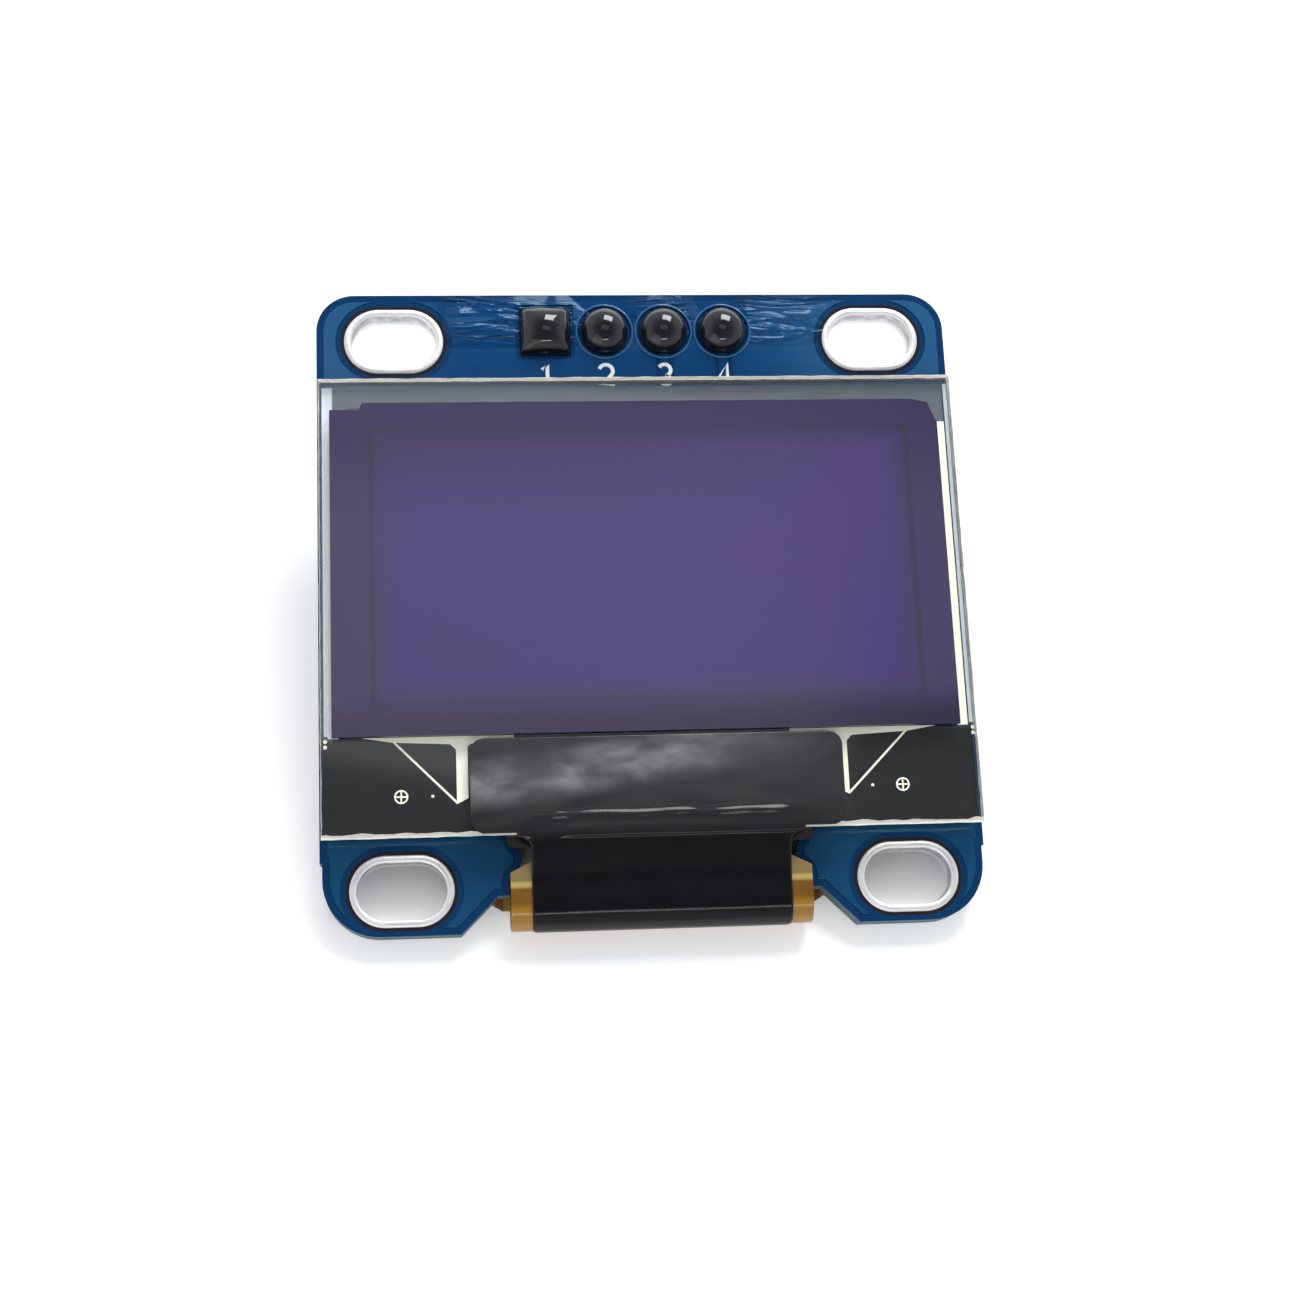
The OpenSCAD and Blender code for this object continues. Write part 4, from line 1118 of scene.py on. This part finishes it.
# Near-black painted shade for the sheets behind the ledge.
ledge_shade_finish = plain_finish("painted_ledge_shade", (0.004, 0.004, 0.005), (0.014, 0.014, 0.016), 0.5,
                    Specular_IOR_Level=0.1)
shade_top = trace_low.z - 0.01 * MM
shade_reach = 0.12 * MM
for side, name in ((-1, "left"), (1, "right")):
    outer = glass_low.x + shade_reach if side < 0 else glass_high.x - shade_reach
    inner = side * (tape_high.x - 1.0 * MM)
    foot, head = glass_low.y + 0.12 * MM, cover_low.y + 0.05 * MM
    outline = box_path(min(inner, outer), foot, max(inner, outer), head)
    flat_sheet(f"ledge_shade_sheet_{name}", [outline], shade_top - 0.03 * MM, shade_top, 0.005 * MM,
               ledge_shade_finish)
marks = []
for x in (glass_low.x + 0.2 * MM, glass_high.x - 0.1 * MM):
    for y in (cover_low.y + 0.09 * MM, cover_low.y - 0.14 * MM):
        marks.append(arc((x, y), 0.08 * MM, 0, 345, 23))
flat_sheet("edge_marks", marks, trace_low.z, trace_high.z, 0.003 * MM, metal)
print("2 painted shade sheets,", len(marks), "round marks")

# %% [markdown]
# ## Polarizer
# The film over the display looks violet black. The area that can light up is a little bluer behind it, and a
# faint brown line frames it. Thin pieces under the film could show that too, but the film hardly lets any
# light back out. So its finish draws all of it, from the distance to the edge of the lit area. Its tone also
# darkens towards the top, over the lit area's top left, and along the tail edge, more on the right: painted
# shade across the flat film.

# %% Finish of the polarizer
lit_low, lit_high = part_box("organic_layer")


def frame_distance(tree):
    """Distance in mm from the edge of the lit area, negative inside it."""
    x, y, _ = axes_mm(tree)
    middle = (lit_low + lit_high) / 2 / MM
    half = (lit_high - lit_low) / 2 / MM
    from_x = sums(tree, "SUBTRACT", sums(tree, "ABSOLUTE", sums(tree, "SUBTRACT", x, middle.x)), half.x)
    from_y = sums(tree, "SUBTRACT", sums(tree, "ABSOLUTE", sums(tree, "SUBTRACT", y, middle.y)), half.y)
    return sums(tree, "MAXIMUM", from_x, from_y)


def polarizer_finish():
    """Violet over the lit area, greyer round it, with painted shade towards the top, the top left and the
    tail edge.
    """
    material, tree, shader = new_finish("violet_film", (0.07, 0.05, 0.14), 0.16, Specular_IOR_Level=0.5)
    away = frame_distance(tree)
    x, y, _ = axes_mm(tree)
    # Painted shade: the tone darkens towards the top, over the lit area's top left, and along the tail edge,
    # more on the right.
    top = ramp(tree, y, 3.0, 7.5)
    bottom = ramp(tree, y, lit_low.y / MM + 0.2, lit_low.y / MM - 1.4)
    right = ramp(tree, x, -13, 13, smooth=False)
    lit = mix(tree, clouds(tree, 0.09, 2), (0.066, 0.042, 0.155), (0.068, 0.046, 0.178))
    lit = mix(tree, sums(tree, "MULTIPLY", top, sums(tree, "SUBTRACT", 1, right)), lit, (0.052, 0.036, 0.106))
    rim = mix(tree, clouds(tree, 0.12, 2), (0.056, 0.047, 0.108), (0.066, 0.054, 0.124))
    rim = mix(tree, top, rim, (0.042, 0.034, 0.092))
    rim = mix(tree, bottom, rim, mix(tree, right, (0.05, 0.038, 0.08), (0.029, 0.023, 0.057)))
    colour = mix(tree, ramp(tree, away, -0.8, 0.5), lit, rim)
    line = sums(tree, "ABSOLUTE", sums(tree, "SUBTRACT", away, 0.33))
    beside = ramp(tree, sums(tree, "ABSOLUTE", x), lit_high.x / MM - 0.1, lit_high.x / MM + 0.1)
    share = sums(tree, "MULTIPLY_ADD", beside, 0.3, 0.14)
    brown = sums(tree, "MULTIPLY", ramp(tree, line, 0.2, 0.06), share)
    colour = mix(tree, brown, colour, (0.04, 0.03, 0.045))
    tree.links.new(colour, shader.inputs["Base Color"])
    bump(tree, shader, clouds(tree, 0.5, 2), 0.004, 0.3)
    return material


dress(polarizer_finish(), "polarizer")

# %% [markdown]
# ## Flex tail
# The tail is amber polyimide film with copper inside. Where the copper lies the film looks darker. Its colour
# also holds painted light and shade: a painted shadow on the bond under the glass, a lighter olive where
# light from below shines through the film, and painted light on the fold. Behind, the inner face that looks
# up past the tail is painted near-white for the lit floor seen there. The imported solid has the true fold
# already, so it only needs a finish that changes along its way: by place in front, and by stripes of copper
# behind.

# %% Finish of the flex tail
fold_r = (tail_high.z - tail_low.z) / 2
fold_z = (tail_high.z + tail_low.z) / 2
fold_y = tail_low.y + fold_r
tail_middle = (tail_low.x + tail_high.x) / 2
print(f"fold of radius {fold_r / MM:.2f} mm")


def amber_finish():
    """Painted shadow at its bond, olive where light from below shines through, then dark amber, and painted
    light at the fold.
    """
    material, tree, shader = new_finish("amber_film", (0.3, 0.16, 0.02), 0.22, Coat_Weight=0.15)
    x, y, z = axes_mm(tree)
    cloudy = clouds(tree, 0.9, 3)
    # brown is a painted shadow on the bond under the glass, olive is painted lighter for light from below
    # shining through the film, and light is painted light on the fold.
    brown = mix(tree, cloudy, (0.008, 0.005, 0.005), (0.02, 0.01, 0.008))
    olive = mix(tree, cloudy, (0.2, 0.14, 0.045), (0.3, 0.21, 0.08))
    dark = mix(tree, cloudy, (0.14, 0.058, 0.001), (0.23, 0.1, 0.002))
    light = mix(tree, cloudy, (0.3, 0.14, 0.006), (0.46, 0.23, 0.012))
    edge = glass_low.y / MM
    colour = mix(tree, ramp(tree, y, edge - 0.5, edge - 0.6), brown, olive)
    colour = mix(tree, ramp(tree, y, edge - 1.7, edge - 2.0), colour, dark)
    band = sums(tree, "ABSOLUTE", sums(tree, "SUBTRACT", y, fold_y / MM + 0.8))
    colour = mix(tree, ramp(tree, band, 0.2, 0.04), colour, (0.5, 0.37, 0.11))
    colour = mix(tree, ramp(tree, y, fold_y / MM + 0.1, fold_y / MM - 0.25), colour, light)
    behind = ramp(tree, z, fold_z / MM - 0.5, fold_z / MM - 0.8)
    track = sums(tree, "PINGPONG", sums(tree, "SUBTRACT", x, tail_middle / MM), 0.31)
    copper = mix(tree, cloudy, (0.2, 0.085, 0.012), (0.27, 0.12, 0.02))
    gap = mix(tree, cloudy, (0.4, 0.21, 0.04), (0.5, 0.27, 0.06))
    rear = mix(tree, ramp(tree, track, 0.13, 0.18), gap, copper)
    # The inner face behind, looking up past the tail, is painted near-white for the lit floor seen there.
    inner = sums(tree, "MULTIPLY", behind, ramp(tree, normal_z(tree), 0.5, 0.9))
    inner = sums(tree, "MULTIPLY", inner, ramp(tree, y, fold_y / MM + 1.2, fold_y / MM + 1.5))
    rear = mix(tree, inner, rear, (0.85, 0.8, 0.72))
    tree.links.new(mix(tree, behind, colour, rear), shader.inputs["Base Color"])
    raised = sums(tree, "MULTIPLY", ramp(tree, track, 0.12, 0.19), behind)
    bump(tree, shader, raised, 0.02, 0.8)
    bump(tree, shader, clouds(tree, 1.1, 2), 0.02, 0.5)
    return material


dress(amber_finish(), "flex_tail")

# %% [markdown]
# ## Light shield tape
# The tape is soft black film, pressed over the ledge, down the glass edge and round
# the fold. It never lies quite flat: it bridges the step at the glass edge, and
# shallow wrinkles stay in its bar. A cloth simulation could lay it, but would differ
# from run to run. Here the sheet is a fine grid whose rows follow the tape's path.
# The path comes first, as points at equal steps.

# %% Path of the tape
tape_points = [vertex.co for vertex in NODES["shield_tape"].data.vertices]
stem_points = [p.x for p in tape_points if p.y < glass_low.y - 1 * MM]
stem_left, stem_right = min(stem_points), max(stem_points)
TAPE_T = 0.055 * MM
TAPE_CORNER = 0.6 * MM
END_CORNER = 0.9 * MM
LIFT = 0.008 * MM
STEM_STEPS = 110
SIDE_STEPS = 26
tape_top = tape_high.y + 0.2 * MM
print(f"bar {(tape_high.x - tape_low.x) / MM:.2f} mm wide, stem {(stem_right - stem_left) / MM:.2f} mm")


def tape_path(step):
    """Points (y, z) at equal steps along the tape, from the bar to the folded end."""
    drop = 1.75 * MM
    tail_top = fold_z + fold_r
    crease = 0.2 * MM
    stops = [(tape_top, glass_high.z), (glass_low.y + crease, glass_high.z)]
    slope = (tail_top - glass_high.z) / drop
    for i in range(1, 7):
        t = i / 6
        y = glass_low.y + crease * (1 - t) ** 2 - crease * t * t
        z = glass_high.z * (1 - t) ** 2 + 2 * t * (1 - t) * glass_high.z
        stops.append((y, z + t * t * (glass_high.z + slope * crease)))
    foot = glass_low.y - drop
    for i in range(7):
        t = i / 6
        y = (1 - t) ** 2 * (foot + crease) + 2 * t * (1 - t) * foot + t * t * (foot - crease)
        z = (1 - t) ** 2 * (tail_top - slope * crease) + (1 - (1 - t) ** 2) * tail_top
        stops.append((y, z))
    reach = math.degrees(math.acos(max(-1, (tape_low.z - fold_z) / (fold_r + 0.06 * MM))))
    turns = [math.radians(reach * i / 30) for i in range(31)]
    stops += [(fold_y - fold_r * math.sin(t), fold_z + fold_r * math.cos(t)) for t in turns]
    path, walked, target = [stops[0]], 0, step
    for (y0, z0), (y1, z1) in zip(stops, stops[1:]):
        leg = math.hypot(y1 - y0, z1 - z0)
        while leg and walked + leg >= target:
            share = (target - walked) / leg
            path.append((y0 + (y1 - y0) * share, z0 + (z1 - z0) * share))
            target += step
        walked += leg
    return path

# %% [markdown]
# ## Width and wrinkles of the tape
# Each row of the grid is as wide as the tape is there: the bar and the folded end
# have rounded corners, and between bar and stem the film flares a little. The
# wrinkles are smooth noise, and one long crest runs along the glass edge, where the
# film bridges the step. It is what draws the bright line across the bar.

# %% Width and wrinkles of the tape
def sheet_half(distance, half, corner):
    """Half width of a rounded outline at a distance from its end."""
    if distance >= corner:
        return half
    return half - corner + math.sqrt(max(0, corner ** 2 - (corner - distance) ** 2))


def wrinkle(x, y):
    """Height of the wrinkles in the bar, from 0 to about 1."""
    u, v = x / MM, y / MM
    bend = noise.noise(Vector((u * 0.18, v * 0.4, 3))) * 1.1
    swell = noise.noise(Vector((u * 0.16 - v * 0.12 + bend, v * 0.5 + u * 0.05 + bend, 9)))
    fine = noise.noise(Vector((u * 0.55 - v * 0.4 + bend, v * 1.1, 21)))
    return 0.9 + 1.7 * swell + 0.45 * fine


def row_across(y, to_end):
    """X of the points across the tape at y, with to_end of its length still to come."""
    middle, half = (stem_left + stem_right) / 2, (stem_right - stem_left) / 2
    share = sheet_half(to_end, half, END_CORNER) / half if to_end < END_CORNER else 1
    in_bar = y > glass_low.y
    over = (y - glass_low.y) / MM
    flare = 0.6 * MM * math.exp(-(over / (0.5 if in_bar else 0.25)) ** 2)
    spread = [half * (2 * i / STEM_STEPS - 1) for i in range(STEM_STEPS + 1)]
    row = [middle + x * share * (1 + flare / half) for x in spread]
    if in_bar:
        centre, half = (tape_low.x + tape_high.x) / 2, (tape_high.x - tape_low.x) / 2
        reach = sheet_half(min(tape_top - y, y - glass_low.y), half, TAPE_CORNER)
        left = [centre - reach + (row[0] - centre + reach) * k / SIDE_STEPS for k in range(SIDE_STEPS)]
        right = [centre + reach + (row[-1] - centre - reach) * k / SIDE_STEPS for k in range(SIDE_STEPS)]
        row = left + row + list(reversed(right))
    return row


def lift_at(x, y, z, to_end):
    """How far the upper skin stands off what it lies on, with wrinkles and crest."""
    calm = min(1, max(0, (tape_top - y) / (0.5 * MM))) * min(1, max(0, to_end / MM))
    strength = 1 if y > glass_low.y - 0.2 * MM else 0.22
    rise = wrinkle(x, y if z > fold_z else y - 3 * MM) * 0.035 * MM * calm * strength
    if y > glass_low.y:
        crest_y = glass_low.y + 0.68 * MM + 0.05 * MM * noise.noise(Vector((x / MM * 0.6, 0, 0)))
        reach = min(1, max(0, (5.6 * MM - abs(x - 0.5 * MM)) / (1.2 * MM)))
        crest = 0.07 * MM * (0.95 + 0.7 * noise.noise(Vector((x / MM * 0.8, 4, 0))))
        rise += crest * reach * math.exp(-((y - crest_y) / (0.13 * MM)) ** 2)
    return max(0, rise) + LIFT + TAPE_T

# %% [markdown]
# ## Mesh of the tape
# The rows are joined by faces into an upper skin, and a lower skin at the tape's
# thickness closes it. In the bar a row has extra points on both sides, so the faces
# start past them where the bar ends and the stem begins.

# %% Mesh of the tape
def tape_rows(step=0.055 * MM):
    """The upper skin: for each row, whether it lies in the bar, and its points."""
    path = tape_path(step)
    rows, end = [], len(path) - 1
    for i, (y, z) in enumerate(path):
        y0, z0 = path[max(0, i - 1)]
        y1, z1 = path[min(end, i + 1)]
        length = math.hypot(y1 - y0, z1 - z0)
        out_y, out_z = (z1 - z0) / length, -(y1 - y0) / length
        to_end = (end - i) * step
        points = []
        for x in row_across(y, to_end):
            rise = lift_at(x, y, z, to_end)
            points.append((x, y + out_y * rise, z + out_z * rise))
        rows.append((y > glass_low.y, points))
    return rows


def tape_mesh():
    """Faces of the upper skin, a lower skin at the tape's thickness, and the rim."""
    shape = bmesh.new()
    grid = [(bar, [shape.verts.new(p) for p in row]) for bar, row in tape_rows()]
    for (bar, row), (next_bar, below) in zip(grid, grid[1:]):
        shift = SIDE_STEPS if bar and not next_bar else 0
        for i in range(len(below) - 1):
            shape.faces.new((row[i + shift], row[i + shift + 1], below[i + 1], below[i]))
    bmesh.ops.recalc_face_normals(shape, faces=shape.faces)
    if sum(face.normal.z for face in shape.faces) < 0:
        bmesh.ops.reverse_faces(shape, faces=shape.faces)
    bmesh.ops.solidify(shape, geom=shape.faces, thickness=TAPE_T)
    mesh = bpy.data.meshes.new("tape_sheet")
    shape.to_mesh(mesh)
    shape.free()
    return mesh


sheet_mesh = tape_mesh()
print(len(sheet_mesh.vertices), "points in the tape")

# %% [markdown]
# ## Finish of the tape
# The film is satin black. A painted sheen of grey, standing in for the reflections in its wrinkles, lies in a
# slanting band of patches, and the rest of the bar is painted a little greyer than the stem as a fainter
# sheen. Two very shallow bumps keep its shine from looking like lacquer.

# %% Finish of the tape
def tape_finish():
    material, tree, shader = new_finish("satin_black_film", (0.004, 0.004, 0.006), 0.14,
                                        Specular_IOR_Level=0.24)
    x, y, _ = axes_mm(tree)
    black = mix(tree, clouds(tree, 0.8, 3), (0.002, 0.002, 0.003), (0.006, 0.006, 0.008))
    patches = ramp(tree, clouds(tree, 0.42, 3, stretch=(0.8, 1.6, 1), warp=0.3), 0.36, 0.68)
    fine = ramp(tree, clouds(tree, 2.0, 4, stretch=(0.6, 1.3, 1)), 0.2, 0.75)
    patches = sums(tree, "MULTIPLY", patches, sums(tree, "MULTIPLY_ADD", fine, 0.5, 0.5))
    # Painted sheen: grey patches in a slanting band over the bar, plus a fainter grey over the whole bar.
    slant = sums(tree, "SUBTRACT", sums(tree, "MULTIPLY_ADD", x, -0.13, y), glass_low.y / MM + 2.9)
    band = ramp(tree, sums(tree, "ABSOLUTE", slant), 1.3, 0.1)
    band = sums(tree, "MULTIPLY", band, ramp(tree, x, 7.5, 0.5))
    painted_sheen = sums(tree, "MULTIPLY", band, sums(tree, "MULTIPLY_ADD", patches, 0.85, 0.2))
    on_bar = ramp(tree, y, glass_low.y / MM - 0.4, glass_low.y / MM + 0.1)
    above = ramp(tree, y, glass_low.y / MM + 0.1, glass_low.y / MM + 2.2)
    painted_sheen = sums(tree, "ADD", painted_sheen, sums(tree, "MULTIPLY", above, 0.08))
    painted_sheen = sums(tree, "ADD", painted_sheen, sums(tree, "MULTIPLY", on_bar, 0.07))
    tree.links.new(mix(tree, painted_sheen, black, (0.24, 0.24, 0.255)), shader.inputs["Base Color"])
    bump(tree, shader, clouds(tree, 9, 2), 0.003, 0.6)
    bump(tree, shader, clouds(tree, 1.0, 2), 0.012, 0.5)
    return material


tape_sheet = finish_piece(sheet_mesh, tape_finish())
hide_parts("shield_tape")
print("tape laid,", tape_sheet.active_material.name)

# %% [markdown]
# ## Copper on the rear
# The rear carries the small parts. A sheet of copper lies under the mask here too,
# above the tail's contact pads, and keeps clear of every row of pads. It is made as
# on the front: an outline, holes round the parts, and clearings round the slots.

# %% Copper on the rear
def grown(low, high, margin_x, margin_y):
    """Outline of a box, widened by a margin in x and one in y."""
    return box_path(low.x - margin_x, low.y - margin_y, high.x + margin_x, high.y + margin_y)


def seat(stem):
    """Box round the body and the leads of one part."""
    body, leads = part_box(stem + "_body"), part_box(stem + "_leads")
    low = Vector([min(a, b) for a, b in zip(body[0], leads[0])])
    return low, Vector([max(a, b) for a, b in zip(body[1], leads[1])])


def rear_row(stem, count, margin_x, margin_y):
    """One outline round a row of equal parts."""
    first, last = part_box(f"{stem}_1"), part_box(f"{stem}_{count}")
    return box_path(first[0].x - margin_x, first[0].y - margin_y, last[1].x + margin_x, last[1].y + margin_y)


rear_z = board_low.z
chip_frame = (0.42 * MM, 0.85 * MM)
frames = {"diode": (0.42 * MM, 0.2 * MM), "regulator": (0.2 * MM, 0.42 * MM)}
clear = 0.17 * MM
rear_holes = [rear_row(stem, count, 1.0 * MM, chip_frame[1] + clear)
              for stem, count in (("capacitor", 5), ("resistor", 6))]
rear_holes.append(grown(*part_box("header_strip"), 0.3 * MM, 0.3 * MM))
rear_holes += [grown(*seat(stem), x + clear, y + clear) for stem, (x, y) in frames.items()]
rear_foot = tail_high.y + 2.2 * MM
rear_edge = [(x, y) for x, y in copper_edge if y > rear_foot]
rear_edge.sort(key=lambda point: math.atan2(point[1] - rear_foot, point[0]))
rear_edge = [(board_high.x - EDGE_CLEAR, rear_foot)] + rear_edge + [(board_low.x + EDGE_CLEAR, rear_foot)]
rear_sheet = flat_sheet("copper_rear", [rear_edge] + rear_holes, rear_z - COPPER_RISE, rear_z,
                        COPPER_BEVEL, mask_copper)
clear_slots(rear_sheet)
print("rear copper with", len(rear_holes), "holes and", len(slots), "slots")

# %% [markdown]
# ## Tracks and closed holes
# A track leaves each contact pad of the tail. Most run into the copper sheet, and
# every third ends in a hole that the mask has closed. The middles of the pads are
# read from the pads' solid, so tracks and pads always line up.

# %% Tracks and closed holes on the rear
def contact_middles():
    """Middle of each contact pad of the tail, from the sides of the pads."""
    sides = sorted({round(vertex.co.x, 6) for vertex in NODES["tail_pads"].data.vertices})
    return [(a + b) / 2 for a, b in zip(sides[::2], sides[1::2])]


def bead_of_mask(x, y, radius):
    """A hole in the board that the mask has closed: a low ring with a dimple."""
    steep = 0.035 * MM
    profile = [(-radius * 0.45, rear_z), (-radius * 0.3, rear_z - steep * 0.6),
               (0, rear_z - steep * 1.7), (radius * 0.4, rear_z - steep * 1.5), (radius * 0.6, rear_z)]
    return sweep(arc((x, y), radius * 0.5, 0, 345, 23), profile)


pads_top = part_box("tail_pads")[1].y
rear_track = ridge(0.1 * MM, rear_z, rear_z - COPPER_RISE, COPPER_BEVEL)
runs, vias = [], []
for i, x in enumerate(contact_middles()):
    stop = rear_foot
    if i % 3 == 1:
        stop = pads_top + (0.55 + 0.35 * (i % 2)) * MM
        vias.append(bead_of_mask(x, stop, 0.3 * MM))
    runs.append(sweep([(x, pads_top - 0.1 * MM), (x, stop)], rear_track, closed=False))
add_piece("rear_tracks", *join(runs), mask_copper, "solder_mask", smooth=False)
add_piece("rear_vias", *join(vias), mask_copper, "solder_mask")
print(len(runs), "tracks and", len(vias), "closed holes on the rear")

# %% [markdown]
# ## Ink and small parts
# A white line of ink frames each part, drawn as a ridge like the numbers in front.
# Pads and leads are tinned. The capacitors are tan ceramic, the resistors have a
# black glaze, and the two larger parts are moulded in black epoxy.

# %% Ink frames and finishes of the small parts
def ink_frame(low, high, margin_x, margin_y):
    """A closed line of ink round a part on the rear."""
    half = 0.07 * MM
    profile = [(-half, rear_z), (-half, rear_z - 0.055 * MM), (half, rear_z - 0.055 * MM), (half, rear_z)]
    return sweep(grown(low, high, margin_x, margin_y), profile)


framed = numbered("capacitor", 5) + numbered("resistor", 6)
lines = [ink_frame(*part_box(name), *chip_frame) for name in framed]
lines += [ink_frame(*seat(stem), *margins) for stem, margins in frames.items()]
add_piece("rear_ink", *join(lines), white_ink, None, smooth=False)
print(len(lines), "frames of ink")
dress(tin, "tail_pads", "tail_solder", "rear_pads", "rear_solder", "chip_terminals",
      "regulator_leads", "diode_leads")
ceramic = plain_finish("tan_ceramic", (0.36, 0.22, 0.1), (0.5, 0.34, 0.18), 0.5, 3)
dress(ceramic, *numbered("capacitor", 5))
glaze = plain_finish("resistor_glaze", (0.01, 0.01, 0.012), (0.03, 0.03, 0.034), 0.3, 3)
dress(glaze, *numbered("resistor", 6))
dress(moulded_black("epoxy_moulding", (0.014, 0.014, 0.015), 0.55), "regulator_body", "diode_body")

# %% [markdown]
# ## The sizes at the end
# The box of the imported model and that of the dressed one are printed.

# %% Print the sizes
low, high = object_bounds()
print("cad", [round(v / MM, 2) for v in (*cad_low, *cad_high)])
print("visual", [round(v / MM, 2) for v in (*low, *high)])
